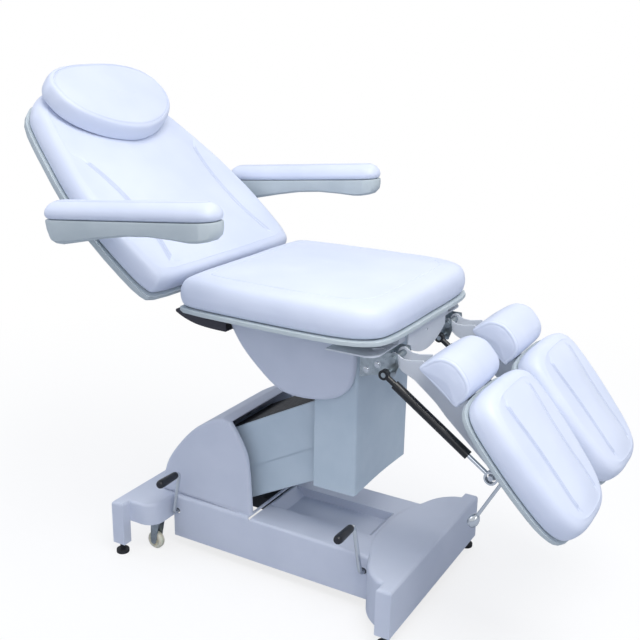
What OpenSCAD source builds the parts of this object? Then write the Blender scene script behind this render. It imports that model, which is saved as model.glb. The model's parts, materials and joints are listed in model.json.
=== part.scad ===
// Facial bed with a motor lift, a reclining back and two separate leg rests.
// Origin: on the floor, under the middle of the bed's length and width.
// +X points to the foot end, +Y to the sitter's left and +Z up.

/* [Base] */
// Half width of the base, over the corner posts
base_half_w = 285; // [260:1:310]
// Rear end of the base
base_rear_x = -470; // [-500:1:-450]
// Front end of the base
base_front_x = 390; // [370:1:420]
// Height of the top of the base covers
base_top_z = 160; // [150:1:175]
// Height of the covers' lower edge over the floor
skirt_z = 32; // [28:1:40]
// Half width of the long beam between the two cross bars
beam_half_w = 164; // [150:1:175]
// Place of the seam between the rear and the front cover
cover_seam_x = -95; // [-110:1:-85]
// Wall of the moulded covers
cover_wall = 4; // [3:0.5:5]
// Half width of the basin in the front cover
basin_half_w = 68; // [55:1:75]
// Depth of the basin
basin_depth = 26; // [15:1:35]

/* [Cross bars] */
// Depth of the rear bar from the rear face to its lobes
rear_bar_d = 122; // [110:1:130]
// Depth of the front bar at its lobes
front_bar_d = 125; // [115:1:135]
// How far the front bar swells towards the beam at its middle
front_swell = 36; // [20:1:45]
// Length of a corner post along the base
post_d = 40; // [34:1:48]
// Width of a corner post
post_w = 30; // [26:1:36]
// Height of the lobes' lower edge over the floor
lobe_z = 96; // [90:1:104]
// Corner radius of a lobe
lobe_r = 42; // [30:1:48]

/* [Lift] */
// Place along the bed of the links' rear pivots
link_rear_x = -200; // [-210:1:-190]
// Height of the upper link's rear pivot
link_rear_z = 307; // [300:1:312]
// Height between the two links' pivots
link_gap_z = 112; // [106:1:118]
// Pivot to pivot length of a link
link_len = 402; // [390:1:412]
// Angle of the links over the floor, as the bed stands
link_angle = 28; // [24:1:30]
// Half width of the upper link
link_half_w = 115; // [105:1:120]
// Height of the upper link across its length
upper_link_h = 113; // [104:1:118]
// Height of the lower link across its length
lower_link_h = 98; // [90:1:104]
// Sheet thickness of the links
link_wall = 2.5; // [2:0.5:4]
// Pivot pin radius of the lift
lift_pin_r = 9; // [8:0.5:11]
// Running clearance of a pin in its bore
pin_clear = 0.08; // [0.04:0.01:0.1]

/* [Hood] */
// Half width of the hood over the links' rear ends
hood_half_w = 155; // [148:1:160]
// Height of the top of the hood
hood_top_z = 426; // [410:1:432]

/* [Column] */
// Half width of the column cover
column_half_w = 150; // [140:1:156]
// Height of the column cover's lower edge
column_low_z = 302; // [296:1:320]
// Rear edge of the column cover
column_rear_x = 98; // [90:1:104]
// Front face of the column cover
column_front_x = 216; // [208:1:224]
// Sheet thickness of the column cover
column_wall = 2; // [1.5:0.5:3]

/* [Seat] */
// Height of the underside of the seat cushion
seat_z = 760; // [740:1:780]
// Rear end of the seat cushion
seat_rear_x = -226; // [-232:1:-222]
// Front end of the seat cushion
seat_front_x = 336; // [326:1:346]
// Half width of the seat cushion
seat_half_w = 298; // [280:1:310]
// Height of the seat cushion's edge
seat_t = 74; // [66:1:82]
// Rise of the seat cushion's middle over its edge
seat_crown = 14; // [8:1:20]
// Thickness of the tray under the seat
seat_tray_t = 11; // [8:1:14]
// Place along the bed of the seat's tilt pivot
tilt_x = 130; // [120:1:140]
// Height of the seat's tilt pivot
tilt_z = 640; // [630:1:650]

/* [Back] */
// Place along the bed of the back's hinge
hinge_x = -262; // [-270:1:-258]
// Height of the back's hinge
hinge_z = 757; // [750:1:764]
// Angle of the back over level, as the bed stands
back_angle = 40; // [35:1:45]
// Length from the hinge to the top of the back
back_len = 716; // [700:1:750]
// Largest half width of the back
back_half_w = 322; // [300:1:330]
// Height of the back cushion's edge
back_t = 62; // [54:1:70]
// Rise of the back cushion's middle over its edge
back_crown = 16; // [10:1:22]
// Depth of the shell behind the back cushion
back_shell_t = 24; // [18:1:30]

/* [Head pillow] */
// Half width of the pillow
pillow_half_w = 213; // [190:1:225]
// Length of the pillow along the back
pillow_len = 232; // [210:1:260]
// Thickness of the pillow
pillow_t = 53; // [44:1:62]

/* [Armrests] */
// Length of an armrest
arm_len = 508; // [480:1:540]
// Width of an armrest
arm_w = 84; // [74:1:94]
// Distance of an armrest's middle from the bed's middle
arm_y = 388; // [378:1:400]
// Angle of an armrest over level
arm_angle = 5.3; // [0:0.1:10]
// Height of an arm pad's middle
arm_pad_t = 40; // [32:1:48]

/* [Leg rests] */
// Distance of a leg rest's middle from the bed's middle
leg_y = 160; // [156:1:166]
// Place along the bed of a leg rest's tilt bolt
leg_pivot_x = 327; // [322:1:332]
// Height of a leg rest's tilt bolt
leg_pivot_z = 702; // [698:1:706]
// Length of a leg arm to the frame under the pad
leg_arm_len = 176; // [168:1:184]
// Angle of a leg pad under level
leg_pad_angle = 50; // [46:1:54]
// Length of a leg pad
leg_pad_len = 366; // [340:1:380]
// Half width of a leg pad
leg_pad_half_w = 151; // [136:1:154]
// Height of a leg cushion's edge
leg_pad_t = 62; // [54:1:70]
// Width of a knee pad
knee_w = 196; // [180:1:204]
// Length of a knee pad's flat side
knee_len = 110; // [100:1:120]
// Height of a knee pad over its flat side
knee_h = 74; // [66:1:82]

/* [Castors and cranks] */
// Radius of a castor wheel
wheel_r = 25; // [22:1:28]
// Width of a castor wheel
wheel_w = 20; // [16:1:24]
// Length of a crank's rod
crank_len = 132; // [120:1:145]
// Radius of a crank's rod
crank_r = 6; // [5:0.5:7]

/* [Hidden] */
$fn = 48;
overrun = 6;
soft_gap = 0.3;
run_gap = 0.3;

// Smooth curves, outlines and lofts

function catmull(a, b, c, d, t) =
    (2 * b + (c - a) * t + (2 * a - 5 * b + 4 * c - d) * pow(t, 2) + (3 * b - a - 3 * c + d) * pow(t, 3)) / 2;
function closed_curve(p, n) = let (m = len(p))
    [for (i = [0:m - 1], k = [0:n - 1])
        catmull(p[(i + m - 1) % m], p[i], p[(i + 1) % m], p[(i + 2) % m], k / n)];
function open_curve(p, n) = let (m = len(p))
    concat([for (i = [0:m - 2], k = [0:n - 1])
        catmull(p[max(i - 1, 0)], p[i], p[i + 1], p[min(i + 2, m - 1)], k / n)], [p[m - 1]]);
// The half outline runs along +x on one side, and a point on the middle line isn't doubled
function mirrored(h) = concat([for (q = h) [q[0], -q[1]]], [for (i = [len(h) - 1:-1:0]) if (h[i][1] > 0) h[i]]);
function spread(p, lx, ly) = [for (q = p) [q[0] * lx, q[1] * ly]];
function unit_of(v) = v / max(norm(v), 0.000001);
function inset_path(p, d) = let (m = len(p))
    [for (i = [0:m - 1]) let (
        a = unit_of(p[i] - p[(i + m - 1) % m]), b = unit_of(p[(i + 1) % m] - p[i]),
        na = [-a[1], a[0]], nb = [-b[1], b[0]], s = na + nb)
        p[i] + d * s * 2 / max(s * s, 1)];
function shrunk(p, d) = let (xs = [for (q = p) q[0]], ys = [for (q = p) q[1]],
    cx = (min(xs) + max(xs)) / 2, hx = (max(xs) - min(xs)) / 2, hy = max(ys))
    [for (q = p) [cx + (q[0] - cx) * (hx - d) / hx, q[1] * (hy - d) / hy]];
function raised(p, z) = [for (q = p) [q[0], q[1], z]];

// A closed solid through rings of equal count, wound anticlockwise, from the lowest up
module loft(rings, strips = true) {
    n = len(rings[0]);
    top = (len(rings) - 1) * n;
    sides = [for (k = [0:len(rings) - 2], i = [0:n - 1], s = [0, 1]) let (
        a = k * n + i, b = k * n + (i + 1) % n)
        s == 0 ? [a, a + n, b + n] : [a, b + n, b]];
    cap = strips
        ? [for (i = [0:n / 2 - 1], s = [0, 1]) let (a = i, b = i + 1, c = n - i - 1, d = (n - i) % n)
            if (s == 0 ? b != c : a != d) s == 0 ? [a, b, c] : [a, c, d]]
        : [[for (i = [0:n - 1]) i]];
    lid = [for (f = cap) [for (i = [len(f) - 1:-1:0]) f[i] + top]];
    polyhedron([for (r = rings) for (q = r) q], concat(sides, cap, lid), convexity = 8);
}

// Drawn-in side of a cushion: inset as a share of the roll, height as a share of the thickness
cushion_side_shares = [[0.38, 0], [0.08, 0.2], [0, 0.5], [0.1, 0.76], [0.36, 0.93], [0.75, 1]];
// Places of the rings on a cushion's top, between its seam and its middle
cushion_top_shares = [0.3, 0.62, 0.9];

// A crowned cushion with a sewn seam that runs round its top and bows in along the sides
module cushion(p, t, crown, roll, seam_in, seam_w, seam_d, bow = 0, bow_share = 1) {
    xs = [for (q = p) q[0]];
    len_x = max(xs) - min(xs);
    half_y = max([for (q = p) q[1]]);
    half = min(half_y, len_x / 2);
    function rise(f) = t + crown * (1 - pow(1 - f, 2.4));
    function bowed(d) = let (c = (min(xs) + max(xs)) / 2) [for (q = p) let (
        s = (q[0] - min(xs)) / len_x / bow_share, b = bow * (s < 1 ? sin(180 * s) : 0))
        [c + (q[0] - c) * (len_x / 2 - d) / (len_x / 2), q[1] * (half_y - d - b) / half_y]];
    side = [for (s = cushion_side_shares) raised(shrunk(p, s[0] * roll), s[1] * t)];
    seam = [for (k = [-1, 0, 1]) raised(bowed(seam_in + k * seam_w),
        rise((seam_in + k * seam_w) / half) - (k == 0 ? seam_d : 0))];
    top = [for (s = cushion_top_shares) let (d = seam_in + seam_w + s * (half - bow - seam_in - seam_w))
        raised(bowed(d), rise(min(d / half, 1)))];
    loft(concat(side, seam, top));
}

module both_sides() {
    children();
    mirror([0, 1, 0]) children();
}
// Extrudes an outline in x and z across the bed, between two places on y
module across(y0, y1) {
    translate([0, y1, 0]) rotate([90, 0, 0]) linear_extrude(y1 - y0) children();
}
module rod_across(x, z, r, y0, y1) {
    translate([x, y1, z]) rotate([90, 0, 0]) cylinder(h = y1 - y0, r = r);
}
module block(x0, x1, y0, y1, z0, z1) {
    translate([x0, y0, z0]) cube([x1 - x0, y1 - y0, z1 - z0]);
}
module beam_between(a, b, r) {
    d = b - a;
    translate(a) rotate([0, acos(d[2] / norm(d)), atan2(d[1], d[0])]) cylinder(h = norm(d), r = r);
}
// A flat bar with round ends from one point to another
module link_shape(a, b, ra, rb) {
    d = b - a;
    n = [-d[1], d[0]] / norm(d);
    polygon([a + n * ra, b + n * rb, b - n * rb, a - n * ra]);
    translate(a) circle(ra);
    translate(b) circle(rb);
}
module rounded_rect(x0, x1, y0, y1, r) {
    translate([x0 + r, y0]) square([x1 - x0 - 2 * r, y1 - y0]);
    translate([x0, y0 + r]) square([x1 - x0, y1 - y0 - 2 * r]);
    for (x = [x0 + r, x1 - r], y = [y0 + r, y1 - r]) translate([x, y]) circle(r);
}
// Rounding of a moulded edge: inset and height as shares of its radius
edge_shares = [[0, 1], [0.13, 0.5], [0.45, 0.13], [1, 0]];
function edge_rings(p, z1, r) = [for (e = edge_shares) raised(inset_path(p, e[0] * r), z1 - e[1] * r)];
module rounded_top(p, z0, z1, r) {
    loft(concat([raised(p, z0)], edge_rings(p, z1, r)), strips = false);
}
// The same, open below, with a wall of even thickness
module hollow_top(p, z0, z1, r, strips = false) {
    inner = inset_path(p, cover_wall);
    loft(concat([raised(inner, z1 - cover_wall), raised(inner, z0), raised(p, z0)], edge_rings(p, z1, r)),
        strips = strips);
}
// A profile in x and z across the bed, with both of its side edges rounded
module rounded_slab(p, half_w, r) {
    ends = [for (e = edge_shares) [e[0] * r, half_w - e[1] * r]];
    rotate([90, 0, 0]) loft(concat(
        [for (i = [len(ends) - 1:-1:0]) raised(inset_path(p, ends[i][0]), -ends[i][1])],
        [for (e = ends) raised(inset_path(p, e[0]), e[1])]), strips = false);
}

// Base covers
cover_edge_r = 10;
lobe_end_y = base_half_w - post_w;
lobe_front_x = base_rear_x + rear_bar_d;
post_step = 1;
beam_wall_top_z = 78;
beam_drop = 3;
function arc_points(cx, cy, r, a0, a1, n) = [for (i = [0:n]) let (a = a0 + (a1 - a0) * i / n)
    [cx + r * cos(a), cy + r * sin(a)]];
// Half of the rear bar in plan: the corner post, then a rounded lobe
bar_plan = mirrored(concat(
    [[base_rear_x, base_half_w], [base_rear_x + post_d, base_half_w], [base_rear_x + post_d, lobe_end_y]],
    arc_points(lobe_front_x - lobe_r, lobe_end_y - lobe_r, lobe_r, 90, 0, 6)));
// Half of the front wing in plan, from the middle of its swollen rear edge to the front corner
wing_rear_x = base_front_x - front_bar_d - front_swell;
wing_shares = [[0, 0], [0.03, 0.245], [0.12, 0.42], [0.25, 0.58], [0.34, 0.7], [0.47, 0.8], [0.64, 0.875],
    [0.75, 0.895]];
wing_len = base_front_x - wing_rear_x;
wing_half = concat(open_curve(spread(wing_shares, wing_len, base_half_w), 3),
    [[wing_len - post_d, base_half_w], [wing_len, base_half_w]]);
wing_plan = [for (q = mirrored(wing_half)) [q[0] + wing_rear_x, q[1]]];
beam_top_z = base_top_z - beam_drop;
hood_mouth_half_w = 141;
hood_hole_x0 = -360;
basin_x0 = -82;
basin_x1 = 229;
basin_ramp = 26;
inlet_half_w = 24;
inlet_half_h = 14;
inlet_z = 128;
crank_rear_x = -336;
crank_front_x = 256;
crank_z = 112;
crank_hole_gap = 3;
crank_hole_r = crank_r + crank_hole_gap;

module rear_base_cover() {
    beam_plan = mirrored([[base_rear_x + post_d, beam_half_w], [cover_seam_x, beam_half_w]]);
    color("whitesmoke") difference() {
        union() {
            difference() {
                union() {
                    hollow_top(bar_plan, skirt_z, base_top_z, cover_edge_r);
                    rounded_top(beam_plan, skirt_z, base_top_z, cover_edge_r);
                }
                block(base_rear_x - overrun, lobe_front_x, -lobe_end_y - post_step, lobe_end_y + post_step,
                    skirt_z - overrun, lobe_z);
                block(base_rear_x + post_d - overrun, cover_seam_x + overrun, cover_wall - beam_half_w,
                    beam_half_w - cover_wall, skirt_z - overrun, base_top_z - cover_wall);
                block(base_rear_x + post_d - overrun, lobe_front_x - cover_wall, -beam_half_w - post_step,
                    beam_half_w + post_step, skirt_z - overrun, base_top_z - cover_wall);
            }
            block(lobe_front_x, lobe_front_x + cover_wall, -beam_half_w + cover_wall / 2,
                beam_half_w - cover_wall / 2, skirt_z, beam_wall_top_z);
        }
        block(hood_hole_x0, cover_seam_x - cover_wall, -hood_mouth_half_w, hood_mouth_half_w, lobe_z,
            base_top_z + overrun);
        block(base_rear_x - overrun, base_rear_x + 2 * cover_wall, -inlet_half_w, inlet_half_w,
            inlet_z - inlet_half_h, inlet_z + inlet_half_h);
        rod_across(crank_rear_x, crank_z, crank_hole_r, -beam_half_w - overrun, 2 * cover_wall - beam_half_w);
    }
}
module basin_shape(d) {
    polygon([[basin_x0 - d, beam_top_z + overrun], [basin_x0 - d, beam_top_z - d],
        [basin_x0 - d + basin_ramp, beam_top_z - basin_depth - d],
        [basin_x1 + d - basin_ramp, beam_top_z - basin_depth - d], [basin_x1 + d, beam_top_z - d],
        [basin_x1 + d, beam_top_z + overrun]]);
}
front_beam_x1 = wing_rear_x + post_d;
module front_base_cover() {
    beam_plan = mirrored([[cover_seam_x, beam_half_w], [front_beam_x1, beam_half_w]]);
    color("whitesmoke") difference() {
        union() {
            hollow_top(wing_plan, skirt_z, base_top_z, cover_edge_r, strips = true);
            rounded_top(beam_plan, skirt_z, beam_top_z, cover_edge_r);
        }
        difference() {
            block(cover_seam_x - overrun, front_beam_x1 + overrun, cover_wall - beam_half_w,
                beam_half_w - cover_wall, skirt_z - overrun, beam_top_z - cover_wall);
            across(-basin_half_w - cover_wall, basin_half_w + cover_wall) basin_shape(cover_wall);
        }
        across(-basin_half_w, basin_half_w) basin_shape(0);
        rod_across(crank_front_x, crank_z, crank_hole_r, -beam_half_w - overrun,
            2 * cover_wall - beam_half_w);
    }
}

// Hood over the rear ends of the links: the front edge leans back from the seam to the top
hood_edge_r = 9;
hood_wall = 4;
hood_rear_x = -394;
hood_h = hood_top_z - base_top_z;
hood_front_over = 3;
hood_len = cover_seam_x + hood_front_over - hood_rear_x;
hood_rear_shares = [[0.70, 0.992], [0.60, 0.955], [0.40, 0.815], [0.225, 0.615], [0.075, 0.375], [0.012, 0.16],
    [0, 0]];
hood_front_shares = [[1, 0], [0.992, 0.075], [0.96, 0.56], [0.89, 0.78], [0.775, 0.975]];
hood_profile = [for (q = concat(open_curve(spread(hood_front_shares, hood_len, hood_h), 3),
    open_curve(spread(hood_rear_shares, hood_len, hood_h), 3))) [q[0] + hood_rear_x, q[1] + base_top_z]];
hood_lip = hood_half_w - hood_mouth_half_w;
hood_top_share = 0.72;
hood_split_x = hood_rear_x + hood_top_share * hood_len;
module lift_hood() {
    color("whitesmoke") difference() {
        rounded_slab(hood_profile, hood_half_w, hood_edge_r);
        across(hood_wall - hood_half_w, hood_half_w - hood_wall) polygon(inset_path(hood_profile, hood_wall));
        across(-hood_mouth_half_w, hood_mouth_half_w) polygon([for (q = inset_path(hood_profile, hood_wall))
            [q[0] + (q[0] > hood_split_x ? 2 * hood_lip : 0), q[1]]]);
        block(hood_rear_x + hood_wall, cover_seam_x - hood_wall, -hood_mouth_half_w, hood_mouth_half_w,
            base_top_z - overrun, base_top_z + 2 * hood_wall);
    }
}

// Steel frame inside the base
rail_y0 = 85;
rail_y1 = 127;
rail_z0 = 36;
rail_h = 42;
rail_x0 = -322;
rail_x1 = 383;
high_rail_z0 = 124;
high_rail_h = 28;
riser_d = 28;
cross_d = 25;
cross_in = 5;
cross_end_y = base_half_w - cross_in;
rear_cross_d = 15;
frame_leg = 20;
post_in = 20;
inlet_depth = 20;
rear_cross_x = base_rear_x + inlet_depth + soft_gap;
leg_y_post = base_half_w - post_w / 2;
rear_post_x = base_rear_x + post_in;
front_post_x = base_front_x - post_in;
upright_y = 125;
upright_t = 6;
upright_rear_x = -232;
upright_front_x = -168;
castor_rear_x = -374;
castor_front_x = 342;
bar_w = 25;
bar_z = 96;
bar_t = 4;
guide_t = 4;
guide_y0 = 90;
guide_y1 = 120;
bearing_y0 = 116;
bearing_y1 = 122;
bearing_half_w = 15;
front_cross_z0 = 98;
boss_wall = 7;
link_rear_low_z = link_rear_z - link_gap_z;
module base_frame() {
    color("gray") difference() {
        union() {
            both_sides() {
                block(rail_x0, rail_x1, rail_y0, rail_y1, rail_z0, rail_z0 + rail_h);
                block(rail_x0, rail_x0 + riser_d, rail_y0, rail_y1, rail_z0, high_rail_z0 + high_rail_h);
                block(rear_post_x - frame_leg / 2, rail_x0 + riser_d, rail_y0, rail_y1, high_rail_z0,
                    high_rail_z0 + high_rail_h);
                block(rail_x1 - cross_d, rail_x1, rail_y0, rail_y1, rail_z0, front_cross_z0 + high_rail_h);
                for (x = [rear_post_x, front_post_x])
                    block(x - frame_leg / 2, x + frame_leg / 2, leg_y_post - frame_leg / 2,
                        leg_y_post + frame_leg / 2, rail_z0,
                        (x < 0 ? high_rail_z0 : front_cross_z0) + high_rail_h);
                across(upright_y, upright_y + upright_t) polygon([[upright_rear_x, rail_z0],
                    [upright_front_x, rail_z0], [upright_front_x, link_rear_low_z],
                    [link_rear_x + 2 * lift_pin_r, link_rear_z + 2 * lift_pin_r],
                    [link_rear_x - 2 * lift_pin_r, link_rear_z + 2 * lift_pin_r],
                    [upright_rear_x, link_rear_low_z]]);
                for (s = [-1, 1]) {
                    block(castor_rear_x + s * (bar_w / 2 + run_gap + guide_t / 2) - guide_t / 2,
                        castor_rear_x + s * (bar_w / 2 + run_gap + guide_t / 2) + guide_t / 2, guide_y0,
                        guide_y1, bar_z + guide_t, high_rail_z0 + guide_t);
                    block(castor_front_x + s * (bar_w / 2 + run_gap + guide_t / 2) - guide_t / 2,
                        castor_front_x + s * (bar_w / 2 + run_gap + guide_t / 2) + guide_t / 2, guide_y0,
                        guide_y1, rail_z0 + rail_h - guide_t, bar_z + bar_w);
                }
            }
            block(rear_cross_x, rear_cross_x + rear_cross_d, -cross_end_y, cross_end_y, high_rail_z0,
                high_rail_z0 + high_rail_h);
            block(rail_x1 - cross_d, rail_x1, -cross_end_y, cross_end_y, front_cross_z0,
                front_cross_z0 + high_rail_h);
            for (z = [link_rear_z, link_rear_low_z])
                rod_across(link_rear_x, z, lift_pin_r, -upright_y - upright_t, upright_y + upright_t);
            block(crank_rear_x - bearing_half_w, crank_rear_x + bearing_half_w, -bearing_y1, -bearing_y0,
                bar_z + guide_t, high_rail_z0 + guide_t);
            block(crank_front_x - bearing_half_w, crank_front_x + bearing_half_w, -bearing_y1, -bearing_y0,
                rail_z0 + rail_h - guide_t, crank_z + bearing_half_w);
        }
        for (x = [crank_rear_x, crank_front_x])
            rod_across(x, crank_z, crank_r + pin_clear, -bearing_y1 - overrun, overrun - bearing_y0);
    }
}
foot_r = 18;
foot_t = 10;
foot_neck_r = 7;
module levelling_feet() {
    color("black") both_sides() for (x = [rear_post_x, front_post_x]) translate([x, leg_y_post, 0]) {
        cylinder(h = foot_t, r = foot_r);
        cylinder(h = rail_z0, r = foot_neck_r);
    }
}
inlet_pocket_w = 26;
inlet_pocket_h = 17;
inlet_pocket_d = 15;
inlet_flange = 2;
inlet_pin = [2, 4];
inlet_pin_y = 7;
module power_inlet() {
    color("black") {
        difference() {
            union() {
                block(base_rear_x, base_rear_x + inlet_depth, soft_gap - inlet_half_w, inlet_half_w - soft_gap,
                    inlet_z - inlet_half_h + soft_gap, inlet_z + inlet_half_h - soft_gap);
                block(base_rear_x - inlet_flange, base_rear_x, -inlet_half_w - inlet_flange,
                    inlet_half_w + inlet_flange, inlet_z - inlet_half_h - inlet_flange,
                    inlet_z + inlet_half_h + inlet_flange);
            }
            block(base_rear_x - overrun, base_rear_x + inlet_pocket_d, -inlet_pocket_w / 2,
                inlet_pocket_w / 2, inlet_z - inlet_pocket_h / 2, inlet_z + inlet_pocket_h / 2);
        }
        for (y = [-inlet_pin_y, 0, inlet_pin_y])
            block(base_rear_x + inlet_flange, base_rear_x + inlet_pocket_d + inlet_flange,
                y - inlet_pin[0] / 2, y + inlet_pin[0] / 2, inlet_z - inlet_pin[1] / 2,
                inlet_z + inlet_pin[1] / 2);
    }
}

// Lift arms: the upper is a channel open below, the lower one is open above and runs inside it
link_end_r = 28;
link_over = 30;
boss_y0 = 72;
link_side_gap = 1.5;
lower_half_w = link_half_w - link_wall - link_side_gap;
lower_rise = 13;
link_front_x = link_rear_x + link_len * cos(link_angle);
link_front_z = link_rear_z + link_len * sin(link_angle);
link_front_low_z = link_front_z - link_gap_z;
module on_link(z) {
    translate([link_rear_x, 0, z]) rotate([0, -link_angle, 0]) children();
}
module link_channel(half_w, n0, n1, web0, web1) {
    difference() {
        union() {
            difference() {
                across(-half_w, half_w) rounded_rect(-link_over, link_len + link_over, n0, n1, link_end_r);
                block(-link_over - overrun, link_len + link_over + overrun, link_wall - half_w,
                    half_w - link_wall, web0, web1);
            }
            both_sides() for (x = [0, link_len])
                rod_across(x, 0, lift_pin_r + boss_wall, boss_y0, half_w - link_wall / 2);
        }
        for (x = [0, link_len])
            rod_across(x, 0, lift_pin_r + pin_clear, -half_w - overrun, half_w + overrun);
    }
}
module upper_lift_arm() {
    color("lightsteelblue") on_link(link_rear_z) link_channel(link_half_w, -upper_link_h / 2,
        upper_link_h / 2, -upper_link_h, upper_link_h / 2 - link_wall);
}
module lower_lift_arm() {
    color("lightsteelblue") on_link(link_rear_low_z) link_channel(lower_half_w,
        (lower_rise - lower_link_h) / 2, (lower_rise + lower_link_h) / 2,
        link_wall + (lower_rise - lower_link_h) / 2, lower_link_h);
}

// Electric actuators: a tube with its gear head at the tail, and a rod that slides in it
actuator_pin_r = 8;
eye_w = 18;
eye_r = 15;
// Lays the tail at the point given, with +x towards the rod's end
module laid(p, a) {
    translate([p[0], 0, p[1]]) rotate([0, -a, 0]) children();
}
module actuator_body(pin_r, tube_r, tube_x1, rod_r, head_len, head_drop) {
    difference() {
        union() {
            across(-eye_w / 2, eye_w / 2) link_shape([0, 0], [head_len, 0], eye_r, eye_r);
            translate([2 * eye_r, 0, 0]) rotate([0, 90, 0]) cylinder(h = tube_x1 - 2 * eye_r, r = tube_r);
            if (head_drop > 0) translate([2 * eye_r + tube_r, 0, -head_drop])
                cylinder(h = head_drop, r = tube_r);
        }
        rod_across(0, 0, pin_r + pin_clear, -eye_w, eye_w);
        translate([3 * eye_r, 0, 0]) rotate([0, 90, 0]) cylinder(h = tube_x1, r = rod_r + run_gap);
    }
}
module actuator_rod(x0, x1, rod_r, hole_r) {
    difference() {
        union() {
            translate([x0, 0, 0]) rotate([0, 90, 0]) cylinder(h = x1 - hole_r - x0, r = rod_r);
            rod_across(x1, 0, hole_r + boss_wall, -eye_w / 2, eye_w / 2);
        }
        rod_across(x1, 0, hole_r, -eye_w, eye_w);
    }
}
lift_act_d = [link_front_x, link_front_low_z] - [link_rear_x, link_rear_z];
lift_act_angle = atan2(lift_act_d[1], lift_act_d[0]);
lift_act_len = norm(lift_act_d);
lift_tube_r = 24;
lift_tube_share = 0.62;
lift_rod_r = 8;
lift_rod_share = 0.34;
lift_play = 5.5;
lift_head_drop = 78;
module lift_actuator_body() {
    color("dimgray") laid([link_rear_x, link_rear_z], lift_act_angle)
        actuator_body(lift_pin_r, lift_tube_r, lift_tube_share * lift_act_len, lift_rod_r, 3 * eye_r,
            lift_head_drop);
}
module lift_actuator_rod() {
    color("silver") laid([link_rear_x, link_rear_z], lift_act_angle)
        actuator_rod(lift_rod_share * lift_act_len, lift_act_len, lift_rod_r, lift_pin_r + lift_play);
}

// Column
plate_y = 120;
plate_t = 6;
plate_rear_x = 122;
plate_front_x = 190;
plate_low_z = 350;
plate_top_z = 672;
plate_head_x0 = 84;
plate_head_x1 = 166;
plate_neck_z = 560;
tilt_pin_r = 10;
tilt_tail = [100, 590];
tilt_tip = [-70, 684];
tie_x = 150;
tie_z0 = 600;
tie_z1 = 665;
pad_x = [146, 182];
pad_z = [[356, 380], [530, 556]];
column_corner_r = 8;
column_cover_top_z = 690;
column_arch = 5;
column_arch_share = 0.9;
module column_frame() {
    color("gray") {
        both_sides() {
            across(plate_y, plate_y + plate_t) polygon([[plate_rear_x, plate_low_z],
                [plate_front_x, plate_low_z], [plate_front_x, plate_neck_z], [plate_head_x1, plate_top_z],
                [plate_head_x0, plate_top_z], [plate_head_x0, tilt_tail[1] - 2 * actuator_pin_r],
                [plate_rear_x, plate_neck_z - 2 * actuator_pin_r]]);
            for (z = pad_z) block(pad_x[0], pad_x[1], plate_y, column_half_w - column_wall, z[0], z[1]);
        }
        for (z = [link_front_z, link_front_low_z])
            rod_across(link_front_x, z, lift_pin_r, -plate_y - plate_t / 2, plate_y + plate_t / 2);
        rod_across(tilt_x, tilt_z, tilt_pin_r, -plate_y - 3 * plate_t, plate_y + 3 * plate_t);
        rod_across(tilt_tail[0], tilt_tail[1], actuator_pin_r, -plate_y - plate_t / 2, plate_y + plate_t / 2);
        block(tie_x, tie_x + plate_t, -plate_y - plate_t / 2, plate_y + plate_t / 2, tie_z0, tie_z1);
    }
}
module column_cover() {
    color("lightsteelblue") difference() {
        translate([0, 0, column_low_z]) linear_extrude(column_cover_top_z - column_low_z) difference() {
            rounded_rect(column_rear_x - column_corner_r, column_front_x, -column_half_w, column_half_w,
                column_corner_r);
            rounded_rect(column_rear_x - 2 * column_corner_r, column_front_x - column_wall,
                column_wall - column_half_w, column_half_w - column_wall, column_corner_r - column_wall);
            translate([column_rear_x - 3 * column_corner_r, -2 * column_half_w])
                square([3 * column_corner_r, 4 * column_half_w]);
        }
        translate([column_front_x - overrun, 0, column_low_z]) rotate([0, 90, 0])
            linear_extrude(2 * overrun) polygon([for (i = [-8:8]) [
                -column_arch * cos(90 * i / 8), column_half_w * column_arch_share * i / 8]]);
    }
}

// Cranks and castors
crank_lean = 10;
crank_y = -180;
crank_shaft_in = 100;
finger_r = 20;
finger_tip_r = 5;
finger_root_w = 1.5;
finger_y0 = 132;
finger_y1 = 143;
finger_up = 15;
grip_len = 76;
grip_r = 12;
grip_start = 14;
bend_r = 12;
// A quarter bend of the crank's rod, in the plane of y and z
module bend(a) {
    rotate([0, 90, 0]) rotate([0, 0, a]) rotate_extrude(angle = 90) translate([bend_r, 0]) circle(crank_r);
}
module crank(x, lean) {
    side = lean > 0 ? 1 : -1;
    translate([x, 0, crank_z]) rotate([0, lean, 0]) {
        rod_across(0, 0, crank_r, crank_y + bend_r, -crank_shaft_in);
        translate([0, crank_y + bend_r, bend_r]) bend(-90);
        translate([0, crank_y, bend_r]) cylinder(h = crank_len - 2 * bend_r, r = crank_r);
        translate([0, crank_y - bend_r, crank_len - bend_r]) bend(90);
        rod_across(0, crank_len, crank_r, crank_y - grip_start, crank_y - bend_r);
    }
    across(-finger_y1, -finger_y0) link_shape([x, crank_z], [x, crank_z]
        + finger_r * [side * cos(finger_up), sin(finger_up)], crank_r + finger_root_w, finger_tip_r);
}
module crank_grip(x, lean) {
    top = [x + crank_len * sin(lean), crank_y - grip_start, crank_z + crank_len * cos(lean)];
    translate(top) rotate([90, 0, 0]) rotate_extrude() polygon(concat([[0, 0], [0.75 * grip_r, 0]],
        open_curve([[0.85 * grip_r, 0.06 * grip_len], [0.95 * grip_r, 0.5 * grip_len],
            [grip_r, 0.85 * grip_len], [0.75 * grip_r, 0.97 * grip_len]], 3), [[0, grip_len]]));
}
module rear_crank() {
    color("silver") crank(crank_rear_x, crank_lean);
}
module rear_crank_grip() {
    color("black") crank_grip(crank_rear_x, crank_lean);
}
module front_crank() {
    color("silver") crank(crank_front_x, -crank_lean);
}
module front_crank_grip() {
    color("black") crank_grip(crank_front_x, -crank_lean);
}
stem_r = 6;
stem_cap = 6;
bar_over = 20;
castor_in = 80;
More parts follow.
